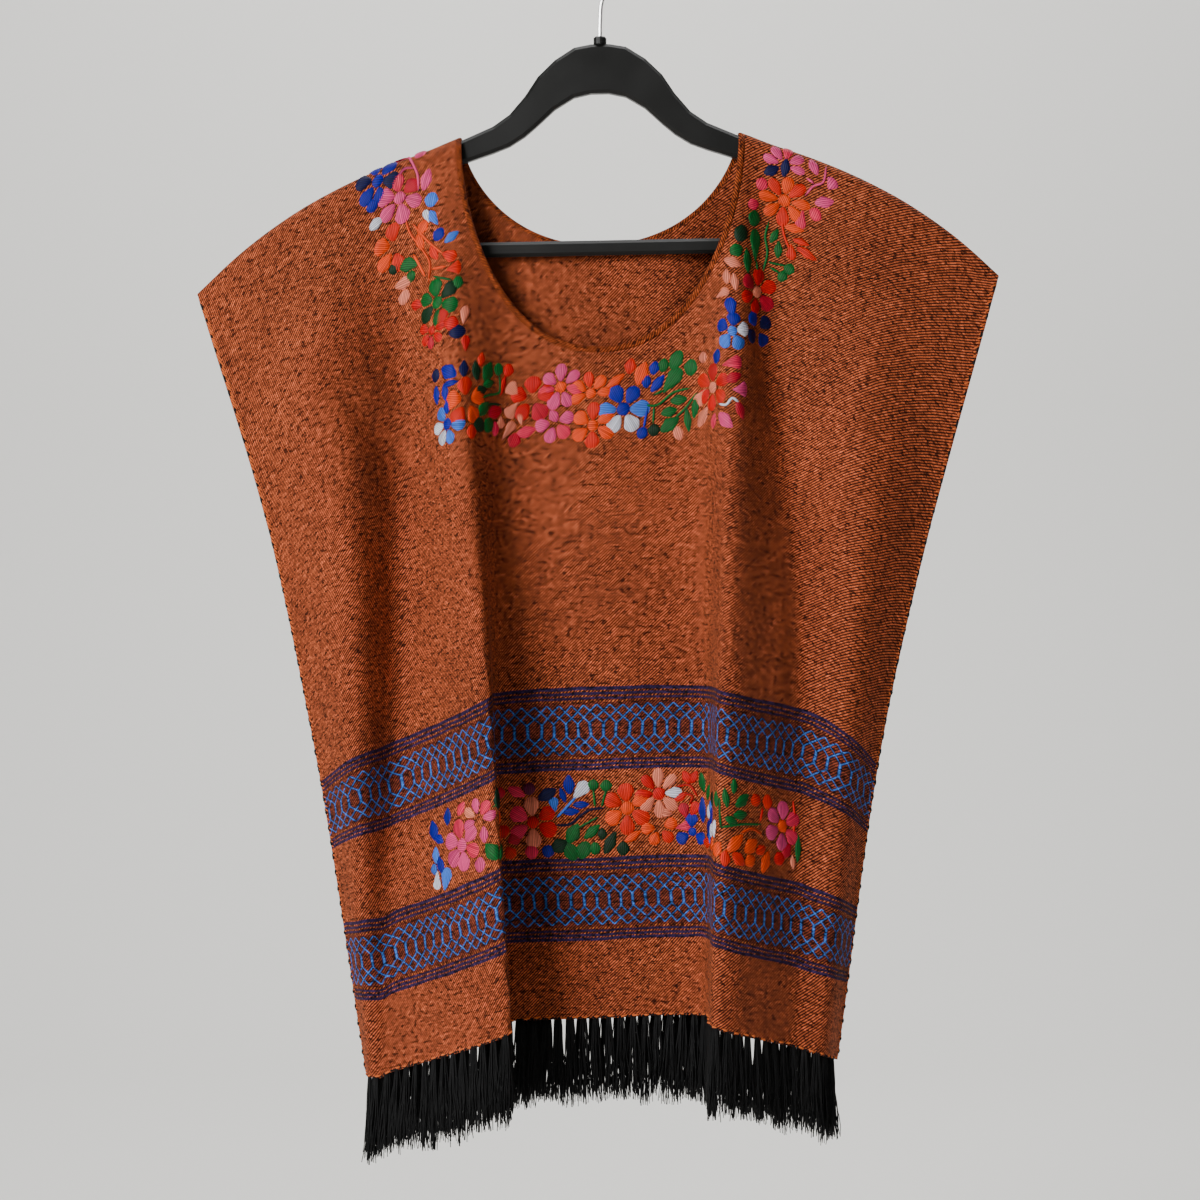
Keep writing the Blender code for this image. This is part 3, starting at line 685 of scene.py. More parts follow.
def on_panel(panel, across, height):
    """Where the cloth behind a place across and a height lies: along and up. Used near the neck."""
    row = np.interp(-height, -panel.points[:, COLUMNS // 2, 2], np.arange(len(panel.downs)))
    for _ in range(6):
        r = int(min(row, len(panel.downs) - 2))
        t = row - r
        line = panel.points[r] * (1 - t) + panel.points[r + 1] * t
        column = np.interp(across, line[:, 0], np.arange(COLUMNS))
        heights = np.array([np.interp(column, np.arange(COLUMNS), line[:, 2]) for line in panel.points])
        row = np.interp(-height, -heights, np.arange(len(panel.downs)))
    fall = np.interp(column, np.arange(COLUMNS), panel.falls[-1])
    down = np.interp(row, np.arange(len(panel.downs)), panel.downs)
    return column / (COLUMNS - 1) * WOVEN_WIDTH, (1 - down) * fall


def roll_edge(name, panel, neck):
    outline = neckline(*neck, ROLL_WIDTH / 2, NECK_STEPS)[1:-1]
    places = np.array([on_panel(panel, x, z) for x, z in outline])
    centre, out = panel.at(places[:, 0], places[:, 1])
    centre[:, 0], centre[:, 2] = outline[:, 0], outline[:, 1]
    size = np.ones(len(centre))
    points, faces = tube(centre - ROLL_SINK * out, out, ROLL_WIDTH * size, ROLL_DEPTH * size, ROLL_SIDES)
    piece = add_mesh(name, points, faces)
    walked = np.concatenate([[0.0], np.cumsum(np.linalg.norm(np.diff(centre, axis=0), axis=1))])
    round_the_roll = np.linspace(0, ROLL_ROUND, ROLL_SIDES)
    places = np.stack(np.broadcast_arrays(walked[:, None], round_the_roll[None]), -1)
    lay_out(piece.data, places.reshape(-1, 2))
    return piece


rolled, tree, shader = finish("rolled_edge", 0.85)
along, up = loom_place(tree)
woven = place_group(tree, twill, Along=along, Up=up)
ROLL_ORANGE = (0.66, 0.13, 0.026, 1.0)
ROLL_WARP = (0.08, 0.014, 0.007, 1.0)
turned = blend(tree, woven["Weft"], ROLL_WARP, ROLL_ORANGE)
feed(tree, shader.inputs["Base Color"], tint(tree, turned, woven["Tone"]))
shader.inputs["Specular IOR Level"].default_value = 0.12
raise_grain(tree, shader, woven["Height"], 0.0004, 0.8)
for name, panel, neck in (("front", front_panel, FRONT_NECK), ("back", back_panel, BACK_NECK)):
    piece = roll_edge(f"neck_roll_{name}", panel, neck)
    piece.data.materials.append(rolled)
    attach(piece, "root")
    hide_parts(f"neck_edge_{name}")


# The embroidery
# Flowers, leaves and sprays in glossy cotton floss, worked by hand through the front cloth in satin
# stitch. The threads lie side by side from each petal's root to its tip, over a low padding.
FLOSS_WIDTH = 1.6
STITCH_STEPS = 6
PADDING = 1.2
THREAD_RISE = 0.4
BORDER_DEPTH = 0.35
STEM_WIDTH = 2.1
DYE_DEPTH = 1.35
DYE_STRENGTH = 0.72

# A bloom's proportions, as parts of its radius: the ring where its petals are widest, the most that
# a petal may measure across, where its petals start, and its eye
WIDEST_RING = 0.68
WIDEST_PETAL = 0.95
PETAL_START = 0.29
EYE_ACROSS = 0.56
PETAL_OVERLAP = 1.1
SHADES = {
    "royal": (0.017, 0.021, 0.40),
    "navy": (0.006, 0.008, 0.115),
    "sky": (0.10, 0.26, 0.75),
    "white": (0.75, 0.75, 0.83),
    "pink": (0.79, 0.115, 0.30),
    "rose": (0.83, 0.06, 0.156),
    "crimson": (0.58, 0.017, 0.06),
    "magenta": (0.19, 0.007, 0.08),
    "red": (0.68, 0.013, 0.007),
    "flame": (0.75, 0.045, 0.005),
    "orange": (0.91, 0.127, 0.007),
    "green": (0.0, 0.188, 0.045),
    "fern": (0.0, 0.061, 0.021),
    "salmon": (0.83, 0.305, 0.205),
}
SHADE_NAMES = list(SHADES)

# How each form ends at its sides: where the outermost thread starts, the power of that curve, how
# far short of the tip it stops, the power of that curve, and how much narrower the root is.
FORMS = {
    "round": (0.5, 2.4, 0.5, 2.4, 0.0),
    "petal": (0.56, 2.1, 0.44, 2.8, 0.30),
    "fan": (0.76, 1.5, 0.24, 2.4, 0.50),
    "leaf": (0.5, 1.9, 0.5, 1.6, 0.0),
    "drop": (0.68, 1.4, 0.32, 2.6, 0.0),
}

# Where the motifs lie on the cloth, in millimetres along it and up from the hem. Turns are in
# degrees clockwise from upwards. A half-open bloom has the middle of its petals and their spread.
Bloom = namedtuple("Bloom", "along up radius petals shades eye facing opened", defaults=("", 0, 360))
Leaf = namedtuple("Leaf", "along up turn length width shade form", defaults=("leaf",))
RIGHT_SHOULDER = (
    (
        Bloom(139, 670, 16, 6, "royal royal navy", "royal"),
        Bloom(153, 649, 17, 6, "rose crimson pink pink pink pink", "pink"),
        Bloom(143, 616, 16, 4, "flame orange orange flame", "", 270, 250),
        Bloom(175, 559, 17, 6, "green fern green", "green"),
        Bloom(168, 540, 13, 5, "red red crimson", "red", 190, 250),
    ),
    (
        Leaf(175, 657, 20, 17, 8, "pink"), Leaf(173, 681, 35, 13, 9, "pink"),
        Leaf(157, 681, 280, 14, 7, "rose"), Leaf(132, 655, 0, 10, 10, "royal", "round"),
        Leaf(132, 641, 80, 10, 8, "white", "round"), Leaf(177, 640, 20, 11, 10, "sky", "round"),
        Leaf(172, 628, 350, 11, 6, "white", "drop"), Leaf(177, 625, 335, 14, 7, "sky", "drop"),
        Leaf(180, 611, 40, 10, 9, "royal", "round"), Leaf(190, 606, 60, 13, 7, "sky"),
        Leaf(168, 621, 40, 14, 8, "orange"), Leaf(164, 610, 165, 14, 7, "orange"),
        Leaf(175, 598, 160, 13, 7, "flame"), Leaf(187, 592, 120, 13, 9, "flame", "drop"),
        Leaf(190, 581, 90, 12, 11, "flame", "fan"), Leaf(151, 598, 115, 18, 10, "green"),
        Leaf(140, 602, 0, 9, 9, "fern", "round"), Leaf(152, 588, 0, 9, 9, "green", "round"),
        Leaf(193, 569, 20, 10, 9, "green", "round"), Leaf(146, 587, 100, 16, 9, "salmon"),
        Leaf(144, 577, 20, 10, 10, "salmon", "round"), Leaf(154, 565, 120, 12, 8, "red"),
        Leaf(179, 547, 60, 14, 10, "red", "round"), Leaf(187, 539, 120, 12, 10, "red", "round"),
        Leaf(192, 531, 100, 14, 10, "navy", "round"), Leaf(198, 543, 10, 14, 8, "salmon", "drop"),
        Leaf(199, 521, 0, 13, 8, "red", "drop"),
    ),
    (
        ("pink", (168, 650), (169, 662), (166, 673), (162, 684)),
        ("pink", (168, 668), (160, 669), (154, 664)),
        ("orange", (155, 632), (157, 620), (165, 605), (171, 591), (168, 577)),
        ("orange", (160, 626), (170, 610), (183, 594)), ("orange", (157, 603), (165, 583)),
        ("orange", (172, 586), (184, 584)), ("green", (173, 580), (188, 572)),
    ),
)
LEFT_SHOULDER = (
    (
        Bloom(455, 670, 15, 5, "pink pink rose pink pink", "", 10, 230),
        Bloom(459, 642, 18, 8, "orange flame orange", "orange"),
        Bloom(448, 564, 17, 6, "red red crimson", "salmon"),
        Bloom(426, 528, 14, 5, "royal white sky sky royal", "sky"),
        Bloom(454, 535, 14, 4, "navy royal", "", 45),
    ),
    (
        Leaf(456, 668, 0, 15, 7, "navy"), Leaf(446, 663, 50, 13, 8, "navy"),
        Leaf(440, 650, 20, 10, 9, "rose", "round"), Leaf(435, 632, 60, 11, 9, "rose", "round"),
        Leaf(484, 639, 10, 11, 10, "rose", "round"), Leaf(474, 630, 180, 16, 8, "rose", "drop"),
        Leaf(489, 652, 55, 17, 8, "pink"), Leaf(492, 669, 20, 11, 9, "pink", "drop"),
        Leaf(477, 675, 330, 13, 8, "pink"), Leaf(471, 603, 170, 13, 8, "flame", "drop"),
        Leaf(470, 622, 90, 15, 7, "orange"), Leaf(477, 613, 90, 14, 6, "flame"),
        Leaf(483, 606, 98, 17, 7, "flame"), Leaf(437, 621, 10, 13, 11, "green", "round"),
        Leaf(426, 606, 30, 15, 12, "fern", "round"), Leaf(423, 592, 60, 12, 10, "green", "round"),
        Leaf(441, 600, 350, 27, 11, "green", "drop"), Leaf(434, 586, 350, 20, 9, "green"),
        Leaf(456, 612, 15, 14, 6, "green"), Leaf(461, 602, 355, 15, 7, "green"),
        Leaf(472, 589, 20, 10, 9, "green", "round"), Leaf(468, 582, 20, 10, 8, "green", "round"),
        Leaf(421, 582, 100, 15, 8, "salmon"), Leaf(417, 570, 355, 12, 7, "salmon"),
        Leaf(424, 567, 345, 14, 7, "salmon"), Leaf(414, 556, 60, 13, 8, "salmon", "fan"),
        Leaf(423, 546, 340, 16, 10, "royal", "drop"),
    ),
    (
        ("pink", (474, 650), (479, 660), (485, 666), (486, 680)), ("pink", (473, 664), (479, 662)),
        ("flame", (459, 626), (464, 613), (470, 604)),
        ("green", (450, 622), (449, 610), (453, 597), (452, 582)), ("green", (455, 590), (469, 591)),
        ("green", (457, 586), (466, 584)), ("green", (444, 588), (446, 580)),
    ),
)
CHEST = (
    (
        Bloom(181, 465, 15, 5, "sky sky white white sky", "royal", 220, 270),
        Bloom(199, 477, 17, 5, "flame orange orange flame orange"),
        Bloom(262, 480, 16, 5, "red red crimson"), Bloom(284, 488, 16, 7, "pink pink rose", "orange"),
        Bloom(281, 461, 14, 4, "pink rose pink", "", 165, 250),
        Bloom(308, 482, 15, 5, "orange orange flame", "orange", 350, 250),
        Bloom(311, 457, 16, 6, "flame orange orange", "orange"),
        Bloom(334, 469, 18, 6, "royal royal sky white white sky", "royal", 330),
        Bloom(410, 483, 17, 6, "red red flame", "salmon"),
    ),
    (
        Leaf(184, 503, 130, 17, 10, "royal"), Leaf(170, 505, 20, 10, 9, "navy", "round"),
        Leaf(197, 502, 0, 13, 9, "navy"), Leaf(170, 490, 180, 15, 7, "royal"),
        Leaf(180, 489, 175, 14, 7, "royal"), Leaf(185, 494, 95, 15, 5, "royal"),
        Leaf(182, 478, 10, 11, 7, "royal"), Leaf(203, 453, 0, 11, 10, "flame", "round"),
        Leaf(209, 500, 350, 15, 8, "fern"), Leaf(221, 500, 25, 17, 11, "green"),
        Leaf(232, 503, 0, 10, 9, "green", "round"), Leaf(214, 485, 80, 14, 8, "fern"),
        Leaf(222, 491, 70, 12, 7, "green"), Leaf(217, 471, 50, 18, 10, "green"),
        Leaf(212, 459, 320, 13, 11, "fern", "round"), Leaf(223, 459, 40, 13, 11, "green", "round"),
        Leaf(214, 509, 10, 12, 7, "flame"), Leaf(241, 503, 10, 10, 9, "red", "round"),
        Leaf(237, 491, 10, 17, 5, "red"), Leaf(247, 487, 310, 15, 13, "salmon", "fan"),
        Leaf(247, 473, 220, 15, 12, "salmon", "fan"), Leaf(230, 470, 70, 15, 10, "crimson", "round"),
        Leaf(237, 463, 180, 10, 8, "salmon", "drop"), Leaf(244, 456, 35, 17, 9, "salmon", "fan"),
        Leaf(231, 457, 0, 11, 8, "rose", "round"), Leaf(250, 449, 20, 11, 10, "crimson", "round"),
        Leaf(259, 455, 75, 16, 9, "rose"), Leaf(254, 466, 350, 11, 6, "salmon", "drop"),
        Leaf(280, 466, 330, 11, 8, "pink"), Leaf(327, 491, 55, 17, 7, "orange"),
        Leaf(338, 502, 10, 12, 9, "flame"), Leaf(347, 496, 20, 18, 10, "orange"),
        Leaf(357, 500, 10, 11, 8, "royal", "round"), Leaf(351, 490, 0, 11, 8, "royal", "round"),
        Leaf(360, 488, 40, 17, 8, "royal"), Leaf(364, 502, 10, 11, 9, "green", "round"),
        Leaf(374, 506, 30, 17, 11, "green", "round"), Leaf(386, 500, 10, 13, 11, "green", "round"),
        Leaf(371, 490, 35, 24, 12, "green", "drop"), Leaf(377, 475, 80, 13, 8, "green"),
        Leaf(370, 466, 75, 13, 8, "green"), Leaf(371, 456, 50, 17, 10, "green"),
        Leaf(359, 452, 0, 10, 10, "fern", "round"), Leaf(385, 459, 170, 19, 6, "green"),
        Leaf(391, 470, 5, 20, 7, "green"), Leaf(350, 450, 20, 10, 9, "royal", "round"),
        Leaf(397, 507, 0, 9, 8, "salmon", "round"), Leaf(413, 507, 10, 12, 8, "royal", "round"),
        Leaf(428, 503, 70, 18, 12, "rose", "fan"), Leaf(431, 492, 60, 15, 8, "crimson"),
        Leaf(438, 484, 80, 14, 13, "pink", "fan"), Leaf(440, 468, 150, 16, 8, "crimson"),
        Leaf(396, 477, 220, 15, 12, "salmon", "fan"), Leaf(399, 461, 30, 18, 10, "salmon"),
        Leaf(378, 449, 340, 12, 8, "salmon", "round"), Leaf(414, 457, 10, 13, 7, "rose"),
        Leaf(428, 458, 120, 19, 11, "pink"),
    ),
    (
        ("green", (233, 499), (234, 486), (222, 482), (211, 478)),
        ("fern", (236, 476), (224, 475), (216, 468)),
        ("green", (348, 472), (359, 471), (373, 481), (386, 484)), ("green", (357, 479), (366, 483)),
        ("green", (375, 461), (384, 470), (391, 480)), ("green", (358, 470), (358, 457)),
        ("royal", (353, 471), (351, 454)), ("white", (420, 470), (428, 470), (432, 476), (438, 473)),
    ),
)
LOWER_ROW = (
    (
        Bloom(139, 152, 18, 6, "rose pink rose pink pink pink", "pink"),
        Bloom(161, 166, 15, 5, "pink salmon pink rose", "", 0, 240),
        Bloom(249, 138, 13, 5, "red crimson flame"),
        Bloom(273, 153, 18, 6, "salmon red red salmon rose rose", "red"),
        Bloom(347, 161, 18, 6, "flame orange flame", "orange"),
        Bloom(372, 171, 17, 8, "salmon salmon white salmon salmon salmon red red", "red", 0),
        Bloom(372, 145, 13, 4, "orange flame orange", "", 170, 250),
        Bloom(398, 141, 13, 3, "royal royal", "royal", 0),
        Bloom(532, 163, 17, 6, "pink rose rose pink pink pink", "orange"),
        Bloom(198, 152, 16, 6, "orange flame orange", "salmon"),
        Bloom(432, 150, 16, 6, "sky royal white", "royal"),
    ),
    (
        Leaf(109, 172, 350, 17, 10, "royal"), Leaf(114, 164, 130, 11, 7, "royal"),
        Leaf(127, 178, 15, 14, 9, "royal"), Leaf(108, 153, 10, 14, 8, "sky"),
        Leaf(112, 144, 350, 15, 8, "royal"), Leaf(104, 143, 0, 9, 7, "sky", "round"),
        Leaf(106, 134, 190, 14, 9, "white", "fan"), Leaf(116, 132, 25, 17, 11, "sky", "drop"),
        Leaf(144, 179, 50, 13, 8, "rose"), Leaf(164, 153, 10, 13, 8, "pink"),
        Leaf(155, 132, 20, 11, 10, "pink", "round"), Leaf(168, 138, 330, 17, 11, "green"),
        Leaf(182, 174, 10, 17, 9, "fern"), Leaf(178, 134, 40, 14, 8, "green"),
        Leaf(217, 168, 30, 17, 8, "green"), Leaf(221, 136, 130, 16, 9, "green"),
        Leaf(228, 152, 10, 13, 10, "royal", "round"), Leaf(248, 177, 0, 9, 8, "crimson", "round"),
        Leaf(261, 177, 120, 15, 8, "rose"), Leaf(271, 179, 10, 10, 10, "magenta", "round"),
        Leaf(285, 174, 65, 17, 10, "navy"), Leaf(271, 130, 0, 11, 10, "rose", "round"),
        Leaf(284, 130, 20, 10, 10, "royal", "round"), Leaf(302, 181, 0, 15, 9, "royal"),
        Leaf(311, 176, 45, 16, 10, "white", "drop"), Leaf(297, 173, 340, 12, 5, "royal"),
        Leaf(290, 166, 350, 12, 8, "sky", "drop"), Leaf(311, 165, 90, 13, 6, "royal"),
        Leaf(303, 160, 90, 13, 6, "royal"), Leaf(321, 180, 0, 9, 9, "green", "round"),
        Leaf(331, 179, 0, 9, 9, "green", "round"), Leaf(304, 143, 30, 17, 11, "green"),
        Leaf(293, 134, 60, 14, 11, "fern"), Leaf(302, 129, 150, 14, 11, "green", "round"),
        Leaf(312, 130, 30, 14, 11, "green", "round"), Leaf(319, 144, 50, 17, 8, "green"),
        Leaf(327, 142, 0, 10, 8, "fern"), Leaf(321, 131, 0, 10, 9, "green", "round"),
        Leaf(333, 135, 30, 20, 9, "fern"), Leaf(343, 130, 0, 11, 10, "fern", "round"),
        Leaf(351, 139, 60, 16, 7, "orange"), Leaf(377, 156, 100, 11, 7, "salmon"),
        Leaf(390, 145, 80, 12, 9, "rose", "fan"), Leaf(394, 183, 330, 11, 7, "red"),
        Leaf(400, 183, 30, 11, 7, "red"), Leaf(392, 157, 340, 13, 9, "crimson", "drop"),
        Leaf(400, 158, 30, 13, 9, "red", "drop"), Leaf(408, 179, 345, 16, 8, "green"),
        Leaf(389, 168, 60, 12, 6, "red"), Leaf(408, 158, 355, 19, 8, "royal"),
        Leaf(419, 172, 30, 14, 7, "green"), Leaf(447, 168, 330, 14, 7, "fern"),
        Leaf(452, 135, 40, 15, 9, "orange"), Leaf(416, 133, 100, 15, 8, "flame"),
        Leaf(461, 147, 0, 14, 7, "white", "drop"), Leaf(463, 170, 350, 13, 6, "green"),
        Leaf(472, 173, 345, 15, 6, "green"), Leaf(487, 174, 45, 17, 8, "green"),
        Leaf(478, 183, 0, 12, 6, "green"), Leaf(486, 163, 75, 14, 7, "green"),
        Leaf(478, 157, 95, 12, 7, "green"), Leaf(501, 177, 60, 11, 9, "flame", "round"),
        Leaf(514, 178, 0, 11, 10, "flame", "round"), Leaf(499, 142, 50, 18, 11, "orange"),
        Leaf(483, 141, 45, 20, 9, "orange"), Leaf(467, 133, 30, 14, 10, "orange"),
        Leaf(475, 128, 0, 13, 9, "flame"), Leaf(487, 130, 120, 15, 10, "flame"),
        Leaf(499, 131, 60, 12, 9, "orange"), Leaf(510, 141, 60, 13, 8, "flame"),
        Leaf(516, 133, 20, 18, 9, "orange"), Leaf(538, 145, 30, 15, 9, "crimson"),
        Leaf(531, 138, 60, 12, 10, "red", "round"), Leaf(545, 138, 350, 12, 5, "salmon"),
        Leaf(549, 149, 355, 23, 6, "green"),
    ),
    (
        ("sky", (292, 156), (299, 163), (307, 171)), ("green", (321, 176), (322, 163)),
        ("green", (331, 176), (327, 163)), ("navy", (290, 150), (300, 150), (318, 161), (330, 162)),
        ("green", (306, 146), (314, 150), (324, 155)), ("red", (386, 176), (396, 177), (403, 168)),
        ("red", (390, 171), (399, 168), (396, 162)), ("green", (470, 150), (468, 161), (467, 172)),
        ("green", (469, 150), (487, 156), (508, 160)), ("orange", (488, 150), (500, 155), (509, 153)),
        ("red", (509, 173), (507, 162)), ("red", (541, 184), (544, 170), (543, 154)),
        ("green", (176, 170), (190, 172), (206, 168)), ("royal", (415, 140), (424, 136), (440, 138)),
    ),
)


def satin(panel, along, up, turn, length, width, form):
    """A satin-stitched patch, by its middle: its points, faces, and places on its own threads."""
    begin, begin_power, end, end_power, spread = FORMS[form]
    threads = max(3, round(width / FLOSS_WIDTH))
    side = np.linspace(-0.97, 0.97, 2 * threads + 1)[:, None]
    steps = np.linspace(0, 1, STITCH_STEPS + 1)[None]
    start = begin * np.abs(side) ** begin_power
    stop = 1 - end * np.abs(side) ** end_power
    share = start + (stop - start) * steps
    aside = side * width / 2 * (1 - spread + spread * share)
    crown = np.sqrt(1 - (side / 0.975) ** 2) * np.sin(np.pi * steps) ** 0.5
    thread = THREAD_RISE * (np.arange(2 * threads + 1) % 2)[:, None] * np.minimum(crown * 2, 1)
    lift = (PADDING + BORDER_DEPTH) * crown + thread - BORDER_DEPTH
    way = math.sin(math.radians(turn)), math.cos(math.radians(turn))
    reach = (share - 0.5) * length
    points, _ = panel.at(along + way[0] * reach + way[1] * aside, up + way[1] * reach - way[0] * aside, lift)
    number = np.arange(share.size).reshape(share.shape)
    faces = np.stack([number[:-1, :-1], number[1:, :-1], number[1:, 1:], number[:-1, 1:]], -1).reshape(-1, 4)
    lanes = np.broadcast_to(np.arange(2 * threads + 1)[:, None] / 2 * FLOSS_WIDTH, share.shape)
    return points.reshape(-1, 3), faces, np.stack([lanes, share * length], -1).reshape(-1, 2)


def stem(panel, line):
    """A stem in closely laid stitches, as a low tube along a bent line on the cloth."""
    line = np.array(line, float)
    walked = np.concatenate([[0.0], np.cumsum(np.linalg.norm(np.diff(line, axis=0), axis=1))])
    at = np.linspace(0, walked[-1], max(4, int(walked[-1] / 2)))
    places = curve_through(walked, line, at)
    centre, out = panel.at(places[:, 0], places[:, 1], 0.25)
    width = STEM_WIDTH * np.clip(np.sin(np.pi * np.clip(at / walked[-1], 0.03, 0.97)) * 3, 0.35, 1)
    points, faces = tube(centre, out, width, 0.8 * width, 6)
    spots = np.stack(np.broadcast_arrays(np.linspace(0, 2, 6)[None], at[:, None]), -1).reshape(-1, 2)
    return points, faces, spots


def petals_of(bloom, chance):
    """The patches of one flower: its petals by rule round a ring, and its eye."""
    shades = bloom.shades.split()
    arc = 2 * math.pi * WIDEST_RING * bloom.radius * bloom.opened / 360 / bloom.petals
    width = min(arc * PETAL_OVERLAP, WIDEST_PETAL * bloom.radius)
    for petal in range(bloom.petals):
        part = petal / bloom.petals if bloom.opened == 360 else (petal + 0.5) / bloom.petals - 0.5
        turn = bloom.facing + bloom.opened * part + chance.uniform(-4, 4)
        length = bloom.radius * chance.uniform(0.76, 0.86)
        out = PETAL_START * bloom.radius + length / 2
        along = bloom.along + out * math.sin(math.radians(turn))
        up = bloom.up + out * math.cos(math.radians(turn))
        wide = width * chance.uniform(0.9, 1.04)
        yield Leaf(along, up, turn, length, wide, shades[petal % len(shades)], "petal")
    if bloom.eye:
        across = EYE_ACROSS * bloom.radius
        yield Leaf(bloom.along, bloom.up, chance.uniform(0, 180), across, across, bloom.eye, "round")


def embroider(name, panel, motifs, seed):
    """One worked area of flowers, leaves and stems as a single piece, with its threads' places."""
    chance = random.Random(seed)
    blooms, leaves, stems = motifs
    patches = [patch for bloom in blooms for patch in petals_of(bloom, chance)] + list(leaves)
    parts = []
    for patch in patches:
        size = chance.uniform(1.04, 1.16)
        made = satin(panel, patch.along, patch.up, patch.turn + chance.uniform(-3, 3), patch.length * size,
                     patch.width * size, patch.form)
        parts.append((*made, patch.shade))
    parts += [(*stem(panel, line), shade) for shade, *line in stems]
    points, faces = merge([(part[0], part[1]) for part in parts])
    piece = add_mesh(name, points, faces)
    places = [part[2] + (chance.uniform(0, 4000), 0) for part in parts]
    lay_out(piece.data, np.vstack(places))
    numbers = np.concatenate([np.full(len(part[1]), SHADE_NAMES.index(part[3])) for part in parts])
    for surface in flosses:
        piece.data.materials.append(surface)
    piece.data.polygons.foreach_set("material_index", numbers.astype(np.int32))
    return piece


# The threads' tones and roundness, from a place across them and a distance from the root. Besides each
# thread's own tone, the tone holds painted shade in the grooves between threads and at each patch's root.
strands, given, made = group(
    "floss_threads",
    (("Across", FLOAT, 0.0), ("Reach", FLOAT, 0.0)),
    (("Tone", FLOAT), ("Height", FLOAT)),
)
lane = calc(strands, "DIVIDE", given["Across"], FLOSS_WIDTH * MM)
reach = calc(strands, "MULTIPLY", given["Reach"], 1000.0)
thread_place = point(strands, calc(strands, "MULTIPLY", calc(strands, "FLOOR", lane), 3.7), 0.0)
thread_tone = noise(strands, thread_place, 1.0, 0.0)
fibre_place = point(strands, calc(strands, "MULTIPLY", lane, 5.0), calc(strands, "MULTIPLY", reach, 0.3))
fibre = noise(strands, fibre_place, 1.0, 1.0)
ridge = calc(strands, "SINE", calc(strands, "MULTIPLY", calc(strands, "FRACT", lane), math.pi))
tone = calc(strands, "MULTIPLY_ADD", thread_tone, 1.3, 0.42)
tone = calc(strands, "MULTIPLY", tone, calc(strands, "MULTIPLY_ADD", fibre, 0.5, 0.72))
# Painted shade: each thread darkens towards its sides, where the grooves between threads lie
groove_shade = calc(strands, "MULTIPLY_ADD", ramp(strands, ridge, 0.0, 0.8), 0.9, 0.3)
tone = calc(strands, "MULTIPLY", tone, groove_shade)
# Painted shade at each patch's root, where the threads go down into the cloth
root_shade = calc(strands, "MULTIPLY_ADD", ramp(strands, reach, 0.3, 3.0), 0.3, 0.72)
tone = calc(strands, "MULTIPLY", tone, root_shade)
feed(strands, made["Tone"], tone)
feed(strands, made["Height"], calc(strands, "MULTIPLY_ADD", fibre, 0.5, ridge))
flosses = []
for name, shade in SHADES.items():
    floss, tree, shader = finish(f"floss_{name}", 0.58)
    across, reach = loom_place(tree)
    laid = place_group(tree, strands, Across=across, Reach=reach)
    dyed = [DYE_STRENGTH * part**DYE_DEPTH for part in shade]
    feed(tree, shader.inputs["Base Color"], tint(tree, dyed, laid["Tone"]))
    shader.inputs["Specular IOR Level"].default_value = 0.22
    raise_grain(tree, shader, laid["Height"], 0.0003, 0.6)
    flosses.append(floss)
worked = []
for name, motifs, seed in (
    ("flowers_right_shoulder", RIGHT_SHOULDER, 11),
    ("flowers_left_shoulder", LEFT_SHOULDER, 12),
    ("flowers_chest", CHEST, 13),
    ("flowers_lower_row", LOWER_ROW, 14),
):
    piece = embroider(name, front_panel, motifs, seed)
    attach(piece, "root")
    worked.append(name)


# The edges' stitching
# The side edges and the hem are overcast by hand: orange yarn wraps the edge, with short dashes of
# black yarn left lying over it, and the fringe's first knots show under the hem's stitches.
DASH_PITCH = 11.6
DASH_LENGTH = 5.6
BUMP_PITCH = 3.5
HEM_PITCH = 9.6


def stitches(panel, starts, ends, width, rise):
    """Short stitches from one place on the cloth to another, each a low arched tube."""
    share = np.linspace(0, 1, 5)
    starts, ends = np.array(starts, float), np.array(ends, float)
    places = starts[:, None] + (ends - starts)[:, None] * share[None, :, None]
    lift = np.broadcast_to(rise * np.sin(np.pi * share) - 0.25 * width, places.shape[:2])
    centre, out = panel.at(places[..., 0], places[..., 1], lift)
    thick = width * (0.6 + 0.4 * np.sin(np.pi * share))
    return [tube(line, facing, thick, thick, 6) for line, facing in zip(centre, out)]


def overcast(panel, seed):
    """The orange wraps and the black dashes of one panel's side edges and hem."""
    chance = random.Random(seed)
    orange, black = [], []
    fall = panel.falls[-1]
    for edge, inward, column in ((0.0, 1, 0), (WOVEN_WIDTH, -1, -1)):
        top = fall[column] - 4
        bumps = np.arange(3, top, BUMP_PITCH)
        starts = [(edge + inward * 0.3, up + chance.uniform(-0.5, 0.5)) for up in bumps]
        ends = [(edge + inward * chance.uniform(2.4, 3.4), up + 1.2) for up in bumps]
        orange += stitches(panel, starts, ends, 1.2, 0.5)
        dashes = [up + chance.uniform(-1.5, 1.5) for up in np.arange(4, top - DASH_LENGTH, DASH_PITCH)]
        starts = [(edge + inward * chance.uniform(0.6, 1.3), up) for up in dashes]
        ends = [
            (edge + inward * chance.uniform(0.6, 1.3), up + chance.uniform(0.8, 1.1) * DASH_LENGTH)
            for up in dashes
        ]
        black += stitches(panel, starts, ends, 1.9, 0.9)
    spots = np.arange(3, WOVEN_WIDTH - 6, HEM_PITCH)
    starts = [(along + chance.uniform(-1.5, 1.5), chance.uniform(0.8, 1.8)) for along in spots]
    ends = [(start[0] + chance.uniform(4.2, 6.0), start[1] + chance.uniform(-0.5, 1.0)) for start in starts]
    orange += stitches(panel, starts, ends, 1.7, 0.9)
    spots = np.arange(2, WOVEN_WIDTH - 4, HEM_PITCH / 3)
    starts = [(along + chance.uniform(-0.8, 0.8), 0.4) for along in spots]
    ends = [(start[0] + chance.uniform(1.6, 2.8), 1.2) for start in starts]
    black += stitches(panel, starts, ends, 1.6, 0.5)
    return orange, black


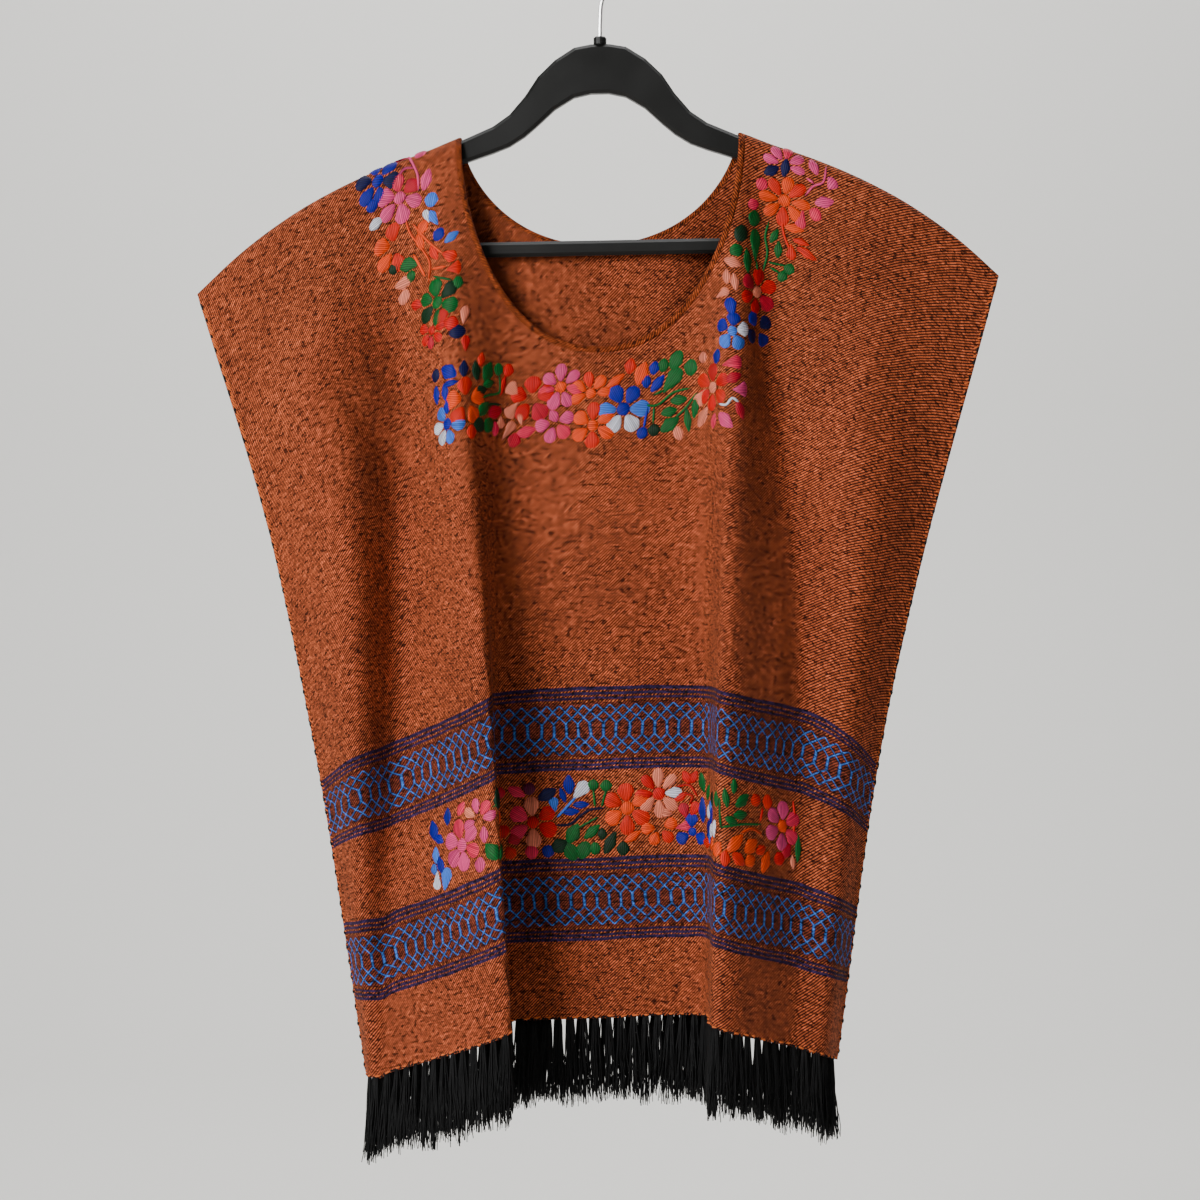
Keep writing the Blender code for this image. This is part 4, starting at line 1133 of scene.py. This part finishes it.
edge_yarn, tree, shader = finish("edge_yarn", 0.85)
coordinate = tree.nodes.new("ShaderNodeTexCoord")
spun = noise(tree, coordinate.outputs["Object"], 700.0)
EDGE_DARK = (0.30, 0.05, 0.012, 1)
EDGE_BRIGHT = (0.85, 0.20, 0.05, 1)
feed(tree, shader.inputs["Base Color"], blend(tree, spun, EDGE_DARK, EDGE_BRIGHT))
shader.inputs["Specular IOR Level"].default_value = 0.15
raise_grain(tree, shader, spun, 0.0002, 0.5)


# The fringe
# Tufts of black cotton are knotted through the hem at even steps and hang free, pinched at the
# root and spreading below, a little wavy and cut unevenly.
TUFT_PITCH = 9.6
TUFT_LENGTH = 64.0
STRANDS = 34
STRAND_STEPS = 8
STRAND_WIDTH = 1.0
STRAND_TAPER = 0.35
KNOT_HALF_WIDTH = 2.0
KNOT_HALF_DEPTH = 1.0
KNOT_RISE = 1.5
EDGE_FLARE = 7.0
FLARED_PART = 0.06


def hem_frame(panel):
    """The hem's line with distances along it, the way out and the way along."""
    line = panel.points[-1] - 0.5 * CLOTH_THICKNESS * panel.normals[-1]
    walked = np.concatenate([[0.0], np.cumsum(np.linalg.norm(np.diff(line[:, :2], axis=0), axis=1))])
    out = panel.normals[-1] * (1, 1, 0)
    out /= np.linalg.norm(out, axis=1, keepdims=True)
    return walked, line, out


def knot_fringe(name, panel, seed):
    """One hem's tufts as a single piece of loose yarns."""
    chance = random.Random(seed)
    walked, line, out = hem_frame(panel)
    count = int((walked[-1] - TUFT_PITCH) // TUFT_PITCH)
    first = (walked[-1] - (count - 1) * TUFT_PITCH) / 2
    share = np.linspace(0, 1, STRAND_STEPS + 1)
    parts = []
    for tuft in range(count):
        at = first + tuft * TUFT_PITCH
        root = np.array([np.interp(at, walked, line[:, i]) for i in range(3)])
        away = np.array([np.interp(at, walked, out[:, i]) for i in range(3)])
        away /= np.linalg.norm(away)
        side_way = np.cross(away, (0, 0, 1)) * panel.side
        place = (tuft + 0.5) / count
        flare = EDGE_FLARE * (max(0.0, 1 - (1 - place) / FLARED_PART) - max(0.0, 1 - place / FLARED_PART))
        sway = 1.6 * math.sin(tuft * 0.55 + seed) + chance.uniform(-1.2, 1.2)
        lift = 1.6 * math.sin(tuft * 0.4 + 2 * seed)
        length = TUFT_LENGTH + chance.uniform(-4, 4)
        for _ in range(STRANDS):
            turn = chance.uniform(0, 2 * math.pi)
            spread = math.sqrt(chance.random())
            start = spread * np.array((math.cos(turn) * KNOT_HALF_WIDTH, math.sin(turn) * KNOT_HALF_DEPTH))
            swell = chance.uniform(1.4, 2.6)
            wave, phase = chance.uniform(0.5, 1.9), chance.uniform(0, 2 * math.pi)
            reach = length * chance.uniform(0.84, 1.06)
            along = start[0] * (1 + swell * share**0.7) + (sway + flare) * share**1.4
            along += wave * np.sin(phase + share * chance.uniform(4, 9)) * share
            depth = start[1] * (1 + swell * share**0.7) + lift * share
            depth += wave * np.cos(phase + share * chance.uniform(4, 9)) * share
            centre = root + side_way * along[:, None] + away * depth[:, None]
            centre = centre + np.outer(KNOT_RISE - share * reach, (0, 0, 1))
            facing = np.broadcast_to(away, centre.shape)
            width = STRAND_WIDTH * (1 - STRAND_TAPER * share**3)
            parts.append(tube(centre, facing, width, width, 3))
    return add_mesh(name, *merge(parts))


yarn, tree, shader = finish("black_yarn", 0.7)
coordinate = tree.nodes.new("ShaderNodeTexCoord")
streak = noise(tree, coordinate.outputs["Object"], 600.0)
YARN_DARK = (0.0015, 0.0015, 0.0015, 1)
YARN_WORN = (0.007, 0.007, 0.0075, 1)
feed(tree, shader.inputs["Base Color"], blend(tree, streak, YARN_DARK, YARN_WORN))
shader.inputs["Specular IOR Level"].default_value = 0.2
raise_grain(tree, shader, streak, 0.0002, 0.4)
for name, panel, seed in (("front", front_panel, 3), ("back", back_panel, 4)):
    piece = knot_fringe(f"fringe_{name}_yarns", panel, seed)
    piece.data.materials.append(yarn)
    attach(piece, "root")
    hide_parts(f"fringe_{name}")
    for kind, parts, surface, slot in zip(("wraps", "dashes"), overcast(panel, seed), (edge_yarn, yarn),
                                          ("cloth", "fringe_yarn")):
        sewn = add_mesh(f"edge_{kind}_{name}", *merge(parts))
        sewn.data.materials.append(surface)
        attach(sewn, "root")

# The hanger
# One moulding of satin black plastic with soft edges, a trouser bar between its lugs, and a
# turned collar that holds the bent steel hook.
plastic, tree, shader = finish("black_plastic", 0.42)
coordinate = tree.nodes.new("ShaderNodeTexCoord")
moulded = noise(tree, coordinate.outputs["Object"], 900.0, 3.0)
worn = noise(tree, coordinate.outputs["Object"], 24.0, 4.0)
PLASTIC_DARK = (0.004, 0.004, 0.0035, 1)
PLASTIC_WORN = (0.008, 0.008, 0.0075, 1)
feed(tree, shader.inputs["Base Color"], blend(tree, worn, PLASTIC_DARK, PLASTIC_WORN))
feed(tree, shader.inputs["Roughness"], calc(tree, "MULTIPLY_ADD", worn, 0.22, 0.32))
shader.inputs["Specular IOR Level"].default_value = 0.3
raise_grain(tree, shader, moulded, 0.0001, 0.3)
steel, tree, shader = finish("steel_wire", 0.28, 1.0)
coordinate = tree.nodes.new("ShaderNodeTexCoord")
drawn = noise(tree, coordinate.outputs["Object"], 500.0)
STEEL_DARK = (0.42, 0.42, 0.41, 1)
STEEL_BRIGHT = (0.62, 0.61, 0.6, 1)
feed(tree, shader.inputs["Base Color"], blend(tree, drawn, STEEL_DARK, STEEL_BRIGHT))
raise_grain(tree, shader, drawn, 0.00005, 0.3)
for node in ("hanger_arms", "hanger_bar", "hanger_collar", "hanger_hook"):
    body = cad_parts[node]
    surface = steel if node == "hanger_hook" else plastic
    body.data.materials.clear()
    body.data.materials.append(surface)

# The cloth's cut: each panel with the names of all that is sewn to it, gathered into a list
for piece, side, extra in ((front_cloth, "front", worked), (back_cloth, "back", [])):
    parts = [f"neck_roll_{side}", f"fringe_{side}_yarns", f"edge_wraps_{side}", f"edge_dashes_{side}", *extra]
    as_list(parts)

# The floor, light and camera
# The pale floor bends up into a plain wall far behind. One wide lamp on the viewer's left gives the
# folds their shade, and the camera is level with the cloth's middle, straight in front.
FLOOR_HEIGHT = -1.3
BEND_START = 2.6
BEND_RADIUS = 1.2
BEND_STEPS = 15
WALL_TOP = 4.0
FLOOR_REACH = 9.0
floor_mesh = bpy.data.meshes.new("floor")
turns = [math.radians(90 / BEND_STEPS * step) for step in range(BEND_STEPS + 1)]
profile = [(-FLOOR_REACH, FLOOR_HEIGHT)]
for turn in turns:
    risen = BEND_RADIUS * (1 - math.cos(turn))
    profile.append((BEND_START + BEND_RADIUS * math.sin(turn), FLOOR_HEIGHT + risen))
profile.append((BEND_START + BEND_RADIUS, WALL_TOP))
points = [(x, y, z) for y, z in profile for x in (-FLOOR_REACH, FLOOR_REACH)]
faces = [[2 * k, 2 * k + 1, 2 * k + 3, 2 * k + 2] for k in range(len(profile) - 1)]
floor_mesh.from_pydata(points, [], faces)
floor_mesh.shade_smooth()
floor = bpy.data.objects.new("floor", floor_mesh)
bpy.context.scene.collection.objects.link(floor)
pale, tree, shader = finish("pale_floor", 0.9)
shader.inputs["Base Color"].default_value = (0.80, 0.79, 0.76, 1)
floor_mesh.materials.append(pale)
floor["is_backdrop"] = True


def add_light(name, place, aim, size, power):
    lamp = bpy.data.lights.new(name, "AREA")
    lamp.size = size
    lamp.energy = power
    lit = bpy.data.objects.new(name, lamp)
    lit.location = place
    lit.rotation_euler = (Vector(aim) - Vector(place)).to_track_quat("-Z", "Y").to_euler()
    bpy.context.scene.collection.objects.link(lit)


MIDDLE = (0, 0, -0.5)
add_light("key", (-1.8, -2.4, 0.5), MIDDLE, 1.3, 132)
add_light("fill", (2.0, -2.6, 0.3), MIDDLE, 2.0, 5)
add_light("back", (1.6, 1.8, 1.4), MIDDLE, 1.0, 26)
add_light("wall", (0, 1.2, 2.4), (0, BEND_START + BEND_RADIUS, -0.2), 2.4, 150)
# The open studio lights the cloth softly, and is seen as a pale wall
SOFT_LIGHT = 0.10
PALE_WALL = 0.50
world = bpy.data.worlds.new("studio")
bpy.context.scene.world = world
world.use_nodes = True
sky = world.node_tree.nodes["Background"]
sky.inputs["Color"].default_value = (0.92, 0.92, 0.90, 1)
seen = world.node_tree.nodes.new("ShaderNodeLightPath").outputs["Is Camera Ray"]
brightness = calc(world.node_tree, "MULTIPLY_ADD", seen, PALE_WALL, SOFT_LIGHT)
feed(world.node_tree, sky.inputs["Strength"], brightness)

FRAME_WIDTH = 0.93
VIEW_DISTANCE = 2.3
VIEW_HEIGHT = -0.5208
SENSOR_WIDTH = 36
lens = bpy.data.cameras.new("camera")
lens.sensor_width = SENSOR_WIDTH
lens.lens = SENSOR_WIDTH * VIEW_DISTANCE / FRAME_WIDTH
camera = bpy.data.objects.new("camera", lens)
camera.location = (0, -VIEW_DISTANCE, VIEW_HEIGHT)
camera.rotation_euler = (math.pi / 2, 0, 0)
bpy.context.scene.collection.objects.link(camera)
bpy.context.scene.camera = camera

bpy.context.view_layer.update()
boxes = {"cad": cad_box, "visual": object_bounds()}
{name: [list(corner) for corner in box] for name, box in boxes.items()}
